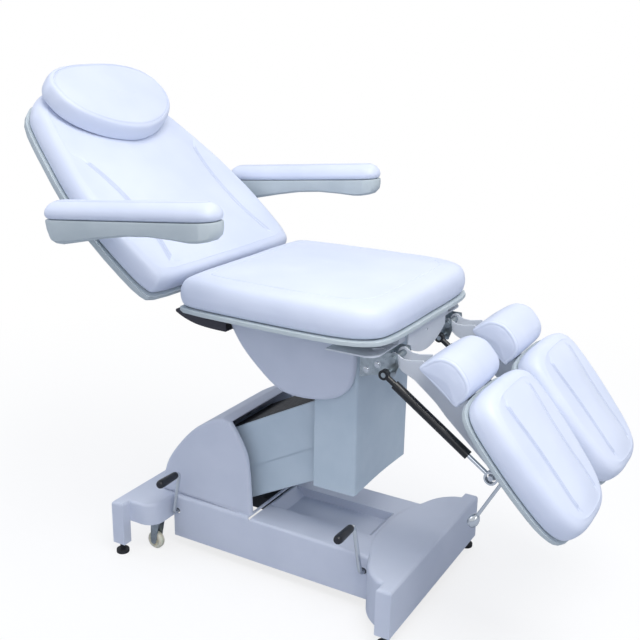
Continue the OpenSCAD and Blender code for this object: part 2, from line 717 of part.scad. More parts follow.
castor_y = base_half_w - castor_in;
castor_lift = 2;
trail = 8;
follower_gap = 2;
follower_t = 6;
follower_y0 = 130;
follower_y1 = 146;
module castor_bar(x, crank_x) {
    side = crank_x > x ? 1 : -1;
    top = crank_z - crank_r - follower_gap;
    difference() {
        union() {
            block(x - bar_w / 2, x + bar_w / 2, -castor_y - bar_over, castor_y + bar_over, bar_z, bar_z + bar_w);
            block(min(x, crank_x + side * (finger_r + finger_tip_r)),
                max(x, crank_x + side * (finger_r + finger_tip_r)), -follower_y1, -follower_y0,
                top - follower_t, top);
        }
        both_sides() translate([x, castor_y, bar_z - overrun])
            cylinder(h = bar_w + overrun - stem_cap, r = stem_r + pin_clear);
    }
}
module rear_castor_bar() {
    color("gray") castor_bar(castor_rear_x, crank_rear_x);
}
module front_castor_bar() {
    color("gray") castor_bar(castor_front_x, crank_front_x);
}
axle_r = 4;
fork_gap = 1;
fork_in = wheel_w / 2 + fork_gap;
fork_t = 2.5;
fork_plate_r = 9;
fork_top_t = 3;
fork_top_gap = 1;
fork_top_r = 15;
module castor_fork(x, y) {
    axle_z = wheel_r + castor_lift;
    fork_z = bar_z - fork_top_gap - fork_top_t;
    translate([x, y, 0]) {
        translate([0, 0, fork_z]) cylinder(h = bar_z + bar_w - stem_cap - fork_top_gap - fork_z, r = stem_r);
        translate([0, 0, fork_z]) cylinder(h = fork_top_t, r = fork_top_r);
        both_sides() across(fork_in, fork_in + fork_t) polygon(concat(
            arc_points(-trail, axle_z, fork_plate_r, -180, 0, 8), [[fork_top_r, fork_z + fork_top_t],
                [-fork_top_r, fork_z + fork_top_t]]));
        rod_across(-trail, axle_z, axle_r, -fork_in - fork_t / 2, fork_in + fork_t / 2);
    }
}
module castor_wheel(x, y) {
    tyre = wheel_w / 2;
    translate([x - trail, y, wheel_r + castor_lift]) rotate([90, 0, 0]) rotate_extrude() difference() {
        union() {
            translate([0, -fork_in + run_gap]) square([2 * axle_r, 2 * (fork_in - run_gap)]);
            translate([0, -tyre / 2]) square([wheel_r - axle_r, tyre]);
            translate([wheel_r - tyre, -tyre]) polygon([[0, 0.15 * tyre], [0.25 * tyre, 0], [0.7 * tyre, 0.1 * tyre],
                [tyre, 0.5 * tyre], [tyre, 1.5 * tyre], [0.7 * tyre, 1.9 * tyre], [0.25 * tyre, 2 * tyre],
                [0, 1.85 * tyre]]);
        }
        translate([-overrun, -wheel_w]) square([axle_r + pin_clear + overrun, 2 * wheel_w]);
    }
}
module castor_fork_rear_left() { color("silver") castor_fork(castor_rear_x, castor_y); }
module castor_fork_rear_right() { color("silver") castor_fork(castor_rear_x, -castor_y); }
module castor_fork_front_left() { color("silver") castor_fork(castor_front_x, castor_y); }
module castor_fork_front_right() { color("silver") castor_fork(castor_front_x, -castor_y); }
module castor_wheel_rear_left() { color("ivory") castor_wheel(castor_rear_x, castor_y); }
module castor_wheel_rear_right() { color("ivory") castor_wheel(castor_rear_x, -castor_y); }
module castor_wheel_front_left() { color("ivory") castor_wheel(castor_front_x, castor_y); }
module castor_wheel_front_right() { color("ivory") castor_wheel(castor_front_x, -castor_y); }

// Seat: frame, covers, tray and cushion
seat_len = seat_front_x - seat_rear_x;
seat_half_shares = [[0, 0], [0, 0.5], [0.008, 0.82], [0.05, 0.95], [0.3, 0.985], [0.6, 1], [0.82, 0.985],
    [0.93, 0.92], [0.985, 0.79], [1, 0.5], [1, 0]];
function seat_plan(d) = [for (q = shrunk(closed_curve(mirrored(spread(seat_half_shares, seat_len,
    seat_half_w)), 2), d)) [q[0] + seat_rear_x, q[1]]];
tray_z = seat_z - seat_tray_t;
tray_out = 3;
seat_roll = 26;
seat_seam_in = 52;
seam_w = 7;
seam_d = 2.5;
seat_rail_y0 = 112;
seat_rail_y1 = 148;
seat_rail_z0 = 722;
seat_rail_z1 = 742;
seat_rail_x0 = -250;
seat_rail_x1 = 319;
cross_bars = [[-214, -174], [-100, -40], [40, 86], [286, 316]];
cross_half_w = 235;
apron_x = 327;
hinge_lug_t = 8;
pedestal_over = 20;
pedestal_half_w = column_half_w + pedestal_over;
pedestal_wall = 4;
under_half_w = 190;
under_wall = 3;
// Half lengths of the cross bars: the covers' walls pass outside the first three
cross_ends = [under_half_w - under_wall - soft_gap, pedestal_half_w - pedestal_wall - soft_gap,
    pedestal_half_w - pedestal_wall - soft_gap, cross_half_w];
hinge_lug_r = 16;
hinge_pin_r = 8;
tilt_plate_y = 127;
tilt_plate_t = 6;
tilt_plate_w = 92;
tilt_boss_r = 26;
back_act_z = 724;
back_act_tail_x = 60;
tail_plate_y = 11;
tail_plate_t = 6;
tail_plate_r = 15;
tilt_lug_y = 20;
tilt_tip_pin_r = 6;
swing_x = 265;
swing_pin_r = 8;
swing_plate_t = 4;
module seat_frame() {
    color("whitesmoke") difference() {
        union() {
            both_sides() {
                block(seat_rail_x0, seat_rail_x1, seat_rail_y0, seat_rail_y1, seat_rail_z0, seat_rail_z1);
                across(seat_rail_y1 - hinge_lug_t, seat_rail_y1) link_shape([hinge_x, hinge_z],
                    [seat_rail_x0 + hinge_lug_r / 2, seat_rail_z0 + hinge_lug_r / 2], hinge_lug_r,
                    hinge_lug_r / 2);
                across(tilt_plate_y, tilt_plate_y + tilt_plate_t) {
                    translate([tilt_x, tilt_z]) circle(tilt_boss_r);
                    polygon([[tilt_x - tilt_boss_r, tilt_z], [tilt_x + tilt_boss_r, tilt_z],
                        [tilt_x + tilt_plate_w / 2, seat_rail_z0 + tilt_plate_t],
                        [tilt_x - tilt_plate_w / 2, seat_rail_z0 + tilt_plate_t]]);
                }
                across(tail_plate_y, tail_plate_y + tail_plate_t) link_shape([back_act_tail_x, back_act_z],
                    [back_act_tail_x, seat_rail_z1], tail_plate_r, tail_plate_r);
                across(tilt_lug_y, tilt_lug_y + tail_plate_t) link_shape(tilt_tip,
                    [tilt_tip[0], seat_rail_z1], tail_plate_r, tail_plate_r);
            }
            for (i = [0:len(cross_bars) - 1]) block(cross_bars[i][0], cross_bars[i][1], -cross_ends[i],
                cross_ends[i], seat_rail_z1, tray_z);
            rod_across(back_act_tail_x, back_act_z, actuator_pin_r, -tail_plate_y - tail_plate_t,
                tail_plate_y + tail_plate_t);
            rod_across(tilt_tip[0], tilt_tip[1], tilt_tip_pin_r, -tilt_lug_y - tail_plate_t,
                tilt_lug_y + tail_plate_t);
        }
        both_sides() {
            rod_across(hinge_x, hinge_z, hinge_pin_r + pin_clear, seat_rail_y0, seat_rail_y1 + overrun);
            rod_across(tilt_x, tilt_z, tilt_pin_r + pin_clear, plate_y, tilt_plate_y + 2 * tilt_plate_t);
        }
        block(-seat_half_w, seat_half_w, -seat_half_w, seat_half_w, tray_z, tray_z + 4 * tail_plate_r);
    }
}
module seat_tray() {
    color("gainsboro") translate([0, 0, tray_z]) linear_extrude(seat_tray_t - soft_gap)
        polygon(seat_plan(-tray_out));
}
module seat_cushion() {
    color("white") translate([0, 0, seat_z]) cushion(seat_plan(0), seat_t, seat_crown, seat_roll, seat_seam_in,
        seam_w, seam_d);
}

pedestal_x0 = -160;
pedestal_low_z = 541;
pedestal_h = tray_z - pedestal_low_z;
pedestal_len = 377;
pedestal_edge_r = 12;
pedestal_shares = [[0, 1], [0.015, 0.86], [0.05, 0.72], [0.13, 0.5], [0.25, 0.28], [0.4, 0.07], [0.52, 0.005],
    [0.68, 0.01], [0.83, 0.07], [0.935, 0.2], [0.985, 0.4], [1, 0.72], [1, 1]];
pedestal_profile = [for (q = open_curve(spread(pedestal_shares, pedestal_len, pedestal_h), 3))
    [q[0] + pedestal_x0, q[1] + pedestal_low_z]];
column_gap = 4;
column_rear_gap = 24;
pedestal_open_x0 = -40;
pedestal_rear_top_z = 700;
module pedestal_cover() {
    inner = inset_path(pedestal_profile, pedestal_wall);
    color("whitesmoke") difference() {
        rounded_slab(pedestal_profile, pedestal_half_w, pedestal_edge_r);
        across(pedestal_wall - pedestal_half_w, pedestal_half_w - pedestal_wall) {
            polygon(inner);
            translate([0, 2 * pedestal_wall]) polygon(inner);
        }
        block(pedestal_open_x0, column_rear_x, -upright_y, upright_y, pedestal_low_z - overrun, tilt_z);
        block(column_rear_x - column_rear_gap, pedestal_x0 + pedestal_len + overrun,
            -column_half_w - column_gap, column_half_w + column_gap, pedestal_low_z - overrun, seat_z);
        block(pedestal_x0 - overrun, pedestal_open_x0 - pedestal_half_w / 4,
            pedestal_wall - pedestal_half_w, pedestal_half_w - pedestal_wall, pedestal_rear_top_z, seat_z);
    }
}
under_x0 = -300;
under_x1 = -142;
under_low_z = 684;
under_rise = 65;
under_low_shares = [[0, 0.45], [0.16, 0.26], [0.4, 0.09], [0.7, 0.015], [1, 0]];
under_top_shares = [[1, 1], [0.38, 1], [0.2, 0.78], [0, 0.55]];
module rear_under_cover() {
    low = [for (q = open_curve(spread(under_low_shares, under_x1 - under_x0, under_rise), 3))
        [q[0] + under_x0, q[1] + under_low_z]];
    top = [for (q = spread(under_top_shares, under_x1 - under_x0, under_rise))
        [q[0] + under_x0, q[1] + under_low_z]];
    color("dimgray") difference() {
        across(-under_half_w, under_half_w) polygon(concat(low, top));
        across(under_wall - under_half_w, under_half_w - under_wall) polygon(concat(
            [for (q = low) q + [0, under_wall]], [[under_x1 + overrun, under_low_z + under_wall],
                [under_x1 + overrun, seat_z], [under_x0, seat_z]]));
        across(pedestal_wall - pedestal_half_w, pedestal_half_w - pedestal_wall)
            translate([under_x0 - overrun, tray_z]) square([overrun, overrun]);
    }
}
swing_plate_x = [187, 314];
swing_plate_y = [130, 260];
swing_corner_r = 30;
swing_notch_x = 220;
swing_notch_y = 174;
slot_r = 46;
slot_w = 9;
slot_a = [28, 72];
apron_t = 3;
apron_low_z = 672;
apron_rise = 36;
apron_hole_r = 3;
plate_z = seat_rail_z0 - swing_plate_t;
module seat_front_plates() {
    color("whitesmoke") {
        both_sides() difference() {
            translate([0, 0, plate_z]) linear_extrude(swing_plate_t) difference() {
                union() {
                    translate([swing_plate_x[0], swing_plate_y[0]]) square([swing_plate_x[1] - swing_plate_x[0]
                        - swing_corner_r, swing_plate_y[1] - swing_plate_y[0]]);
                    translate([swing_plate_x[0], swing_plate_y[0]]) square([swing_plate_x[1] - swing_plate_x[0],
                        swing_plate_y[1] - swing_plate_y[0] - swing_corner_r]);
                    translate([swing_plate_x[1] - swing_corner_r, swing_plate_y[1] - swing_corner_r])
                        circle(swing_corner_r);
                }
                translate([swing_plate_x[0] - overrun, swing_plate_y[0] - overrun])
                    square([swing_notch_x - swing_plate_x[0] + overrun, swing_notch_y - swing_plate_y[0]
                        + overrun]);
                polygon(concat(arc_points(swing_x, leg_y, slot_r - slot_w / 2, slot_a[0], slot_a[1], 10),
                    arc_points(swing_x, leg_y, slot_r + slot_w / 2, slot_a[1], slot_a[0], 10)));
            }
            translate([swing_x, leg_y, plate_z - overrun]) cylinder(h = 3 * overrun, r = swing_pin_r + pin_clear);
        }
        difference() {
            translate([apron_x - apron_t, 0, 0]) rotate([90, 0, 90]) linear_extrude(apron_t) polygon(concat(
                [for (i = [-8:8]) [seat_rail_y0 * i / 8, apron_low_z + apron_rise * pow(i / 8, 2)]],
                [[seat_rail_y0, tray_z], [-seat_rail_y0, tray_z]]));
            translate([apron_x - 2 * apron_t, 0, seat_rail_z0]) rotate([0, 90, 0])
                cylinder(h = 3 * apron_t, r = apron_hole_r);
        }
    }
}

// Actuators of the seat's tilt and of the back
tilt_act_d = tilt_tip - tilt_tail;
tilt_act_angle = atan2(tilt_act_d[1], tilt_act_d[0]);
tilt_act_len = norm(tilt_act_d);
tilt_tube_r = 18;
tilt_tube_share = 0.66;
tilt_rod_r = 8;
tilt_rod_share = 0.42;
tilt_play = 1;
module tilt_actuator_body() {
    color("dimgray") laid(tilt_tail, tilt_act_angle) actuator_body(actuator_pin_r, tilt_tube_r,
        tilt_tube_share * tilt_act_len, tilt_rod_r, 2 * eye_r, 0);
}
module tilt_actuator_rod() {
    color("silver") laid(tilt_tail, tilt_act_angle) actuator_rod(tilt_rod_share * tilt_act_len, tilt_act_len,
        tilt_rod_r, tilt_tip_pin_r + tilt_play);
}
lever_len = 36;
lever_a = 7.5;
lever_tip = [hinge_x - lever_len * sin(lever_a), hinge_z - lever_len * cos(lever_a)];
back_act_len = back_act_tail_x - lever_tip[0];
back_tube_r = 17;
back_tube_share = 0.62;
back_act_rod_r = 9;
back_act_rod_share = 0.46;
lever_pin_r = 6;
lever_play = 3.5;
rod_eye_wall = 3;
module back_actuator_body() {
    color("dimgray") laid([back_act_tail_x, back_act_z], 180) actuator_body(actuator_pin_r, back_tube_r,
        back_tube_share * back_act_len, back_act_rod_r, 2 * eye_r, 0);
}
module back_actuator_rod() {
    color("silver") laid([back_act_tail_x, back_act_z], 180) difference() {
        union() {
            translate([back_act_rod_share * back_act_len, 0, 0]) rotate([0, 90, 0])
                cylinder(h = (1 - back_act_rod_share) * back_act_len - lever_pin_r, r = back_act_rod_r);
            rod_across(back_act_len, 0, lever_pin_r + lever_play + rod_eye_wall, -eye_w / 2, eye_w / 2);
        }
        rod_across(back_act_len, 0, lever_pin_r + lever_play, -eye_w, eye_w);
    }
}

// Back: x runs down the back and z out of its cushion, from the hinge
module on_back() {
    translate([hinge_x, 0, hinge_z]) rotate([0, back_angle, 0]) children();
}
back_low = 30;
back_pad_len = back_len - back_low;
// From the top of the back down to the hinge
back_half_shares = [[0, 0], [0.006, 0.31], [0.04, 0.54], [0.11, 0.7], [0.2, 0.78], [0.32, 0.855], [0.48, 0.945],
    [0.67, 1], [0.86, 0.995], [0.965, 0.96], [0.994, 0.87], [1, 0.5], [1, 0]];
back_plan = [for (q = closed_curve(mirrored(spread(back_half_shares, back_pad_len, back_half_w)), 2))
    [q[0] - back_len, q[1]]];
back_roll = 34;
back_seam_in = 34;
back_seam_bow = 62;
back_bow_share = 1.02;
shell_wall = 3;
shell_out = 4;
shell_shares = [[1, 0], [0.4, 0.12], [0.08, 0.4], [0, 1]];
shell_edge = 16;
frame_tube_y0 = 149;
frame_tube_y1 = 176;
frame_tube_n0 = -20;
frame_tube_n1 = -4;
frame_top_s = 590;
frame_cross = [[40, 66], [560, 590]];
arm_s = 285;
arm_n = -12;
arm_cross_half = 14;
arm_pin_r = 10;
arm_pin_in = 7;
lug_t = 6;
lug_r = 13;
lever_y0 = 13;
lever_t = 6;
lever_r = 11;
module back_cushion() {
    color("white") on_back() translate([0, 0, soft_gap]) cushion(back_plan, back_t, back_crown, back_roll,
        back_seam_in, seam_w, seam_d, back_seam_bow, back_bow_share);
}
module back_shell() {
    color("gainsboro") on_back() difference() {
        loft([for (s = shell_shares) raised(shrunk(back_plan, s[0] * shell_edge - shell_out),
            (s[1] - 1) * back_shell_t)], strips = false);
        translate([0, 0, shell_wall - back_shell_t]) linear_extrude(back_shell_t)
            polygon(shrunk(back_plan, shell_edge));
        both_sides() rod_across(-arm_s, arm_n, arm_pin_r + run_gap, frame_tube_y1, back_half_w + 2 * shell_edge);
        block(-back_low - 2 * shell_edge, 2 * shell_edge - back_low, -frame_tube_y1, frame_tube_y1,
            -2 * back_shell_t, back_shell_t);
    }
}
module back_frame() {
    color("gray") {
        on_back() {
            both_sides() {
                block(-frame_top_s, -frame_cross[0][0], frame_tube_y0, frame_tube_y1, frame_tube_n0,
                    frame_tube_n1);
                across(frame_tube_y0, frame_tube_y0 + lug_t) link_shape([0, 0],
                    [-frame_cross[0][1], frame_tube_n0 + lug_t], lug_r, lug_t);
                rod_across(0, 0, hinge_pin_r, seat_rail_y0 + 4 * lug_t, frame_tube_y0 + lug_t);
                block(-arm_s - arm_cross_half, arm_cross_half - arm_s, frame_tube_y0,
                    back_half_w - 3 * shell_edge, frame_tube_n0, frame_tube_n1);
                rod_across(-arm_s, arm_n, arm_pin_r, back_half_w - 4 * shell_edge, arm_y - arm_pin_in);
            }
            for (x = frame_cross) block(-x[1], -x[0], -frame_tube_y1, frame_tube_y1, frame_tube_n0,
                frame_tube_n1);
        }
        both_sides() across(lever_y0, lever_y0 + lever_t) link_shape(lever_tip,
            [hinge_x - frame_cross[0][1] * cos(back_angle), hinge_z + frame_cross[0][0] * sin(back_angle)],
            lever_r, lever_t);
        rod_across(lever_tip[0], lever_tip[1], lever_pin_r, -lever_y0 - lever_t, lever_y0 + lever_t);
    }
}
pillow_low = 478;
pillow_roll = 14;
pillow_crown = 6;
pillow_seam_in = 15;
pillow_half_shares = [[0, 0], [0.01, 0.38], [0.055, 0.66], [0.14, 0.86], [0.27, 0.98], [0.41, 1], [0.53, 0.98],
    [0.68, 0.88], [0.83, 0.67], [0.945, 0.38], [1, 0]];
pillow_seam_w = 3;
pillow_seam_d = 1.5;
module head_pillow() {
    plan = [for (q = closed_curve(mirrored(spread(pillow_half_shares, pillow_len + 2 * pillow_roll,
        pillow_half_w)), 2)) [q[0] - pillow_low - pillow_len - pillow_roll, q[1]]];
    color("white") on_back() translate([0, 0, back_t + back_crown + 2 * soft_gap])
        cushion(plan, pillow_t, pillow_crown, pillow_roll, pillow_seam_in, pillow_seam_w, pillow_seam_d);
}

// Armrests: x runs forward from the rear end, z is 0 where the pad sits on its shell
arm_pivot_x = hinge_x - arm_s * cos(back_angle) + arm_n * sin(back_angle);
arm_pivot_z = hinge_z + arm_s * sin(back_angle) + arm_n * cos(back_angle);
arm_rear_x = -515;
arm_rear_z = 967;
arm_half_shares = [[0, 0], [0.004, 0.55], [0.025, 0.86], [0.09, 1], [0.5, 1], [0.88, 0.99], [0.945, 0.86],
    [0.985, 0.54], [1, 0]];
arm_plan = closed_curve(mirrored(spread(arm_half_shares, arm_len, arm_w / 2)), 3);
arm_depth = 60;
arm_depth_shares = [[0, 0.5], [0.02, 0.78], [0.05, 0.95], [0.1, 1], [0.18, 0.92], [0.3, 0.77], [0.42, 0.65],
    [0.56, 0.55], [0.7, 0.6], [0.8, 0.7], [0.88, 0.78], [0.95, 0.72], [1, 0.5]];
arm_ring_shares = [[0.32, 1], [0.1, 0.86], [0.02, 0.5], [0, 0.1], [0.02, 0]];
arm_roll = 30;
arm_crown = 12;
arm_seam_in = 27;
arm_seam_w = 2;
arm_seam_d = 0.5;
arm_edge_share = 0.8;
arm_pad_in = 1;
module on_arm(side) {
    translate([arm_rear_x, side * arm_y, arm_rear_z]) rotate([0, -arm_angle, 0]) children();
}
module arm_shell(side) {
    difference() {
        on_arm(side) loft([for (r = arm_ring_shares) [for (q = shrunk(arm_plan, r[0] * arm_w / 2))
            [q[0], q[1], -r[1] * arm_depth * lookup(q[0] / arm_len, arm_depth_shares)]]]);
        rod_across(arm_pivot_x, arm_pivot_z, arm_pin_r + pin_clear,
            side > 0 ? 0 : -arm_y + arm_pin_in - run_gap, side > 0 ? arm_y - arm_pin_in + run_gap : 0);
    }
}
module arm_pad(side) {
    on_arm(side) translate([0, 0, soft_gap]) cushion(shrunk(arm_plan, arm_pad_in), arm_pad_t * arm_edge_share,
        arm_crown, arm_roll, arm_seam_in, arm_seam_w, arm_seam_d);
}
module arm_shell_left() { color("gainsboro") arm_shell(1); }
module arm_shell_right() { color("gainsboro") arm_shell(-1); }
module arm_pad_left() { color("white") arm_pad(1); }
module arm_pad_right() { color("white") arm_pad(-1); }

// Leg rests: both are alike, and each lies along its own middle line
module at_leg(side) {
    translate([0, side * leg_y, 0]) children();
}
bracket_y0 = 33;
bracket_t = 4;
bracket_gap = 0.3;
bracket_low_z = 645;
spring_top = [322, 674];
spring_low = [590, 487];
spring_y = -65;
spring_pin_r = 6;
spring_play = 6;
spring_r = 11;
spring_rod_r = 5;
spring_eye_w = 14;
spring_eye_r = 12;
head_r = 9;
head_t = 5;
nut_r = 10;
bracket_x0 = 245;
bracket_step_z = 662;
bracket_nose = 16;
module leg_bracket(side) {
    top = plate_z - bracket_gap;
    at_leg(side) difference() {
        union() {
            both_sides() across(bracket_y0, bracket_y0 + bracket_t) polygon([[bracket_x0, bracket_low_z],
                [leg_pivot_x - 2 * spring_eye_r, bracket_step_z], [spring_top[0] + spring_eye_r, bracket_step_z],
                [leg_pivot_x + bracket_nose, leg_pivot_z - ear_r], [leg_pivot_x + spring_eye_r, top],
                [bracket_x0, top]]);
            block(bracket_x0, leg_pivot_x - ear_r - ear_clear, -bracket_y0 - bracket_t,
                bracket_y0 + bracket_t, top - bracket_t, top);
            translate([swing_x, 0, top - bracket_t]) cylinder(h = bracket_t + bracket_gap + swing_plate_t
                + bracket_gap + head_t, r = swing_pin_r);
            translate([swing_x, 0, seat_rail_z0 + bracket_gap]) cylinder(h = head_t, r = spring_r);
            rod_across(leg_pivot_x, leg_pivot_z, actuator_pin_r, -bracket_y0 - bracket_t,
                bracket_y0 + bracket_t);
            rod_across(leg_pivot_x, leg_pivot_z, nut_r, bracket_y0 + bracket_t, bracket_y0 + bracket_t + head_t);
            rod_across(leg_pivot_x, leg_pivot_z, nut_r, -bracket_y0 - bracket_t - head_t,
                -bracket_y0 - bracket_t);
            rod_across(spring_top[0], spring_top[1], spring_pin_r, spring_y - spring_eye_w / 2,
                -bracket_y0);
        }
    }
}
ear_y0 = 24;
ear_y1 = 28;
ear_r = 13.5;
ear_clear = 8;
ear_wall = 4;
spring_ear_r = 16;
// Side of a leg arm and its frame, from the tilt bolt, in shares of the arm's length
arm_side_shares = [[0, 0.076], [0.06, 0.05], [0.13, 0.018], [0.23, 0.012], [0.32, 0.028], [0.41, 0.045],
    [0.45, -0.03], [0.93, -0.42], [1.1203, -0.3131], [1.7632, -1.0794], [1.8, -1.25], [1.68, -1.36], [1.5, -1.31],
    [0.77, -0.65], [0.62, -0.49], [0.48, -0.375], [0.3, -0.235], [0.13, -0.155], [0.05, -0.09], [0, -0.076]];
arm_side = [for (q = arm_side_shares) [leg_pivot_x, leg_pivot_z] + q * leg_arm_len];
release = [612, 478];
release_knob = [548, 358];
release_y = 38;
release_hub_r = 8;
release_hub_w = 8;
release_rod_r = 4;
release_pin_r = 4;
knob_r = 13;
clamp_half_w = 22;
clamp_d = 24;
knee_a = [419, 714];
knee_slope = 38.25;
knee_d = [cos(knee_slope), -sin(knee_slope)];
knee_n = [-knee_d[1], knee_d[0]];
clamp_at_shares = [0.12, 0.78];
clamp_w = 22;
clamp_foot = 8;
module leg_arm(side) {
    at_leg(side) difference() {
        union() {
            difference() {
                across(-ear_y1, ear_y1) {
                    polygon(arm_side);
                    translate([leg_pivot_x, leg_pivot_z]) circle(ear_r);
                    translate(spring_low) circle(spring_ear_r);
                }
                across(-ear_y0, ear_y0) union() {
                    translate([ear_wall, ear_wall]) polygon(arm_side);
                    translate([leg_pivot_x, leg_pivot_z]) circle(ear_r + ear_clear);
                }
            }
            both_sides() rod_across(leg_pivot_x, leg_pivot_z, spring_eye_r, ear_y0, bracket_y0 - bracket_gap);
            for (s = clamp_at_shares) across(-clamp_half_w, clamp_half_w) polygon([
                knee_a + knee_d * (s * knee_len - clamp_w / 2) - knee_n * clamp_d,
                knee_a + knee_d * (s * knee_len + clamp_w / 2) - knee_n * clamp_d,
                knee_a + knee_d * (s * knee_len + clamp_w / 2) - knee_n * soft_gap,
                knee_a + knee_d * (s * knee_len - clamp_w / 2) - knee_n * soft_gap]);
            for (s = clamp_at_shares) across(-ear_y1, ear_y1) polygon([
                knee_a + knee_d * (s * knee_len - clamp_w / 2) - knee_n * (clamp_d + clamp_foot),
                knee_a + knee_d * (s * knee_len + clamp_w / 2) - knee_n * (clamp_d + clamp_foot),
                knee_a + knee_d * (s * knee_len + clamp_w / 2) - knee_n * (clamp_d - ear_wall),
                knee_a + knee_d * (s * knee_len - clamp_w / 2) - knee_n * (clamp_d - ear_wall)]);
            rod_across(spring_low[0], spring_low[1], spring_pin_r, spring_y - spring_eye_w / 2, -ear_y0);
            rod_across(spring_low[0], spring_low[1], nut_r, spring_y + spring_eye_w / 2 + spring_end, -ear_y0);
            rod_across(release[0], release[1], release_pin_r, -release_y - release_hub_w / 2, -ear_y0);
        }
        rod_across(leg_pivot_x, leg_pivot_z, actuator_pin_r + pin_clear, -bracket_y0, bracket_y0);
    }
}
leg_pad_top = [520.4, 651.5];
module on_leg(side) {
    at_leg(side) translate([leg_pad_top[0], 0, leg_pad_top[1]]) rotate([0, leg_pad_angle, 0]) children();
}
leg_half_shares = [[0, 0], [0.004, 0.5], [0.035, 0.8], [0.12, 0.955], [0.3, 1], [0.5, 0.99], [0.66, 0.95],
    [0.81, 0.88], [0.91, 0.765], [0.97, 0.6], [0.995, 0.36], [1, 0]];
leg_plan = closed_curve(mirrored(spread(leg_half_shares, leg_pad_len, leg_pad_half_w)), 2);
leg_shell_t = 15;
leg_roll = 30;
leg_crown = 12;
leg_seam_in = 31;
leg_seam_bow = 36;
module leg_shell(side) {
    on_leg(side) loft([for (s = shell_shares) raised(shrunk(leg_plan, s[0] * shell_edge - shell_out / 2),
        s[1] * leg_shell_t)], strips = false);
}
module leg_cushion(side) {
    on_leg(side) translate([0, 0, leg_shell_t + soft_gap]) cushion(leg_plan, leg_pad_t, leg_crown, leg_roll,
        leg_seam_in, seam_w, seam_d, leg_seam_bow);
}
knee_shares = [[0, 0], [0.5, 0], [1, 0], [1.04, 0.16], [1.06, 0.42], [1.0, 0.68], [0.86, 0.88], [0.64, 0.99],
    [0.4, 1], [0.18, 0.84], [0.06, 0.6], [0, 0.3]];
knee_edge = 8;
module knee_pad(side) {
    p = [for (q = closed_curve(spread(knee_shares, knee_len, knee_h), 2)) knee_a + knee_d * q[0] + knee_n
        * max(q[1], 0)];
    at_leg(side) rounded_slab(p, knee_w / 2, knee_edge);
}
spring_d = spring_low - spring_top;
spring_angle = atan2(spring_d[1], spring_d[0]);
spring_len = norm(spring_d);
spring_tube_shares = [0.1, 0.79];
spring_rod_in = 0.55;
clevis_r = 7;
spring_end = 1;
spring_eye_wall = 4;
module gas_spring_cylinder(side) {
    at_leg(side) translate([spring_top[0], spring_y, spring_top[1]]) rotate([0, -spring_angle, 0]) difference() {
        union() {
            rod_across(0, 0, spring_eye_r, -spring_eye_w / 2, spring_eye_w / 2);
            rotate([0, 90, 0]) cylinder(h = spring_tube_shares[0] * spring_len + spring_end, r = clevis_r);
            translate([spring_tube_shares[0] * spring_len, 0, 0]) rotate([0, 90, 0])
                cylinder(h = (spring_tube_shares[1] - spring_tube_shares[0]) * spring_len, r = spring_r);
        }
        rod_across(0, 0, spring_pin_r + pin_clear, -spring_eye_w, spring_eye_w);
        translate([(spring_rod_in - 0.05) * spring_len, 0, 0]) rotate([0, 90, 0])
            cylinder(h = spring_len, r = spring_rod_r + run_gap);
    }
}
module gas_spring_rod(side) {
    hole = spring_pin_r + spring_play;
    at_leg(side) translate([spring_top[0], spring_y, spring_top[1]]) rotate([0, -spring_angle, 0]) difference() {
        union() {
            translate([spring_rod_in * spring_len, 0, 0]) rotate([0, 90, 0])
                cylinder(h = (1 - spring_rod_in) * spring_len - hole - spring_end, r = spring_rod_r);
            rod_across(spring_len, 0, hole + spring_eye_wall, -spring_eye_w / 2, spring_eye_w / 2);
        }
        rod_across(spring_len, 0, hole, -spring_eye_w, spring_eye_w);
    }
}
module release_lever(side) {
    d = unit_of(release_knob - release);
    y = -release_y;
    at_leg(side) difference() {
        union() {
            rod_across(release[0], release[1], release_hub_r, y - release_hub_w / 2, y + release_hub_w / 2);
            beam_between([release[0] + d[0] * release_pin_r, y, release[1] + d[1] * release_pin_r],
                [release_knob[0], y, release_knob[1]], release_rod_r);
            translate([release_knob[0], y, release_knob[1]]) rotate([0, 90 - atan2(d[1], d[0]), 0])
                rotate_extrude() polygon([for (i = [0:12]) let (a = 180 * i / 12)
                    [knob_r * sin(a) * (1 - 0.18 * cos(a)), -1.5 * knob_r * cos(a)]]);
        }
        rod_across(release[0], release[1], release_pin_r + pin_clear, y - release_hub_w, y + release_hub_w);
    }
}
module leg_bracket_left() { color("silver") leg_bracket(1); }
module leg_bracket_right() { color("silver") leg_bracket(-1); }
module leg_arm_left() { color("gainsboro") leg_arm(1); }
module leg_arm_right() { color("gainsboro") leg_arm(-1); }
module leg_shell_left() { color("gainsboro") leg_shell(1); }
module leg_shell_right() { color("gainsboro") leg_shell(-1); }
module leg_cushion_left() { color("white") leg_cushion(1); }
module leg_cushion_right() { color("white") leg_cushion(-1); }
module knee_pad_left() { color("white") knee_pad(1); }
module knee_pad_right() { color("white") knee_pad(-1); }
module gas_spring_cylinder_left() { color("black") gas_spring_cylinder(1); }
module gas_spring_cylinder_right() { color("black") gas_spring_cylinder(-1); }
module gas_spring_rod_left() { color("silver") gas_spring_rod(1); }
module gas_spring_rod_right() { color("silver") gas_spring_rod(-1); }
module release_lever_left() { color("black") release_lever(1); }
module release_lever_right() { color("black") release_lever(-1); }

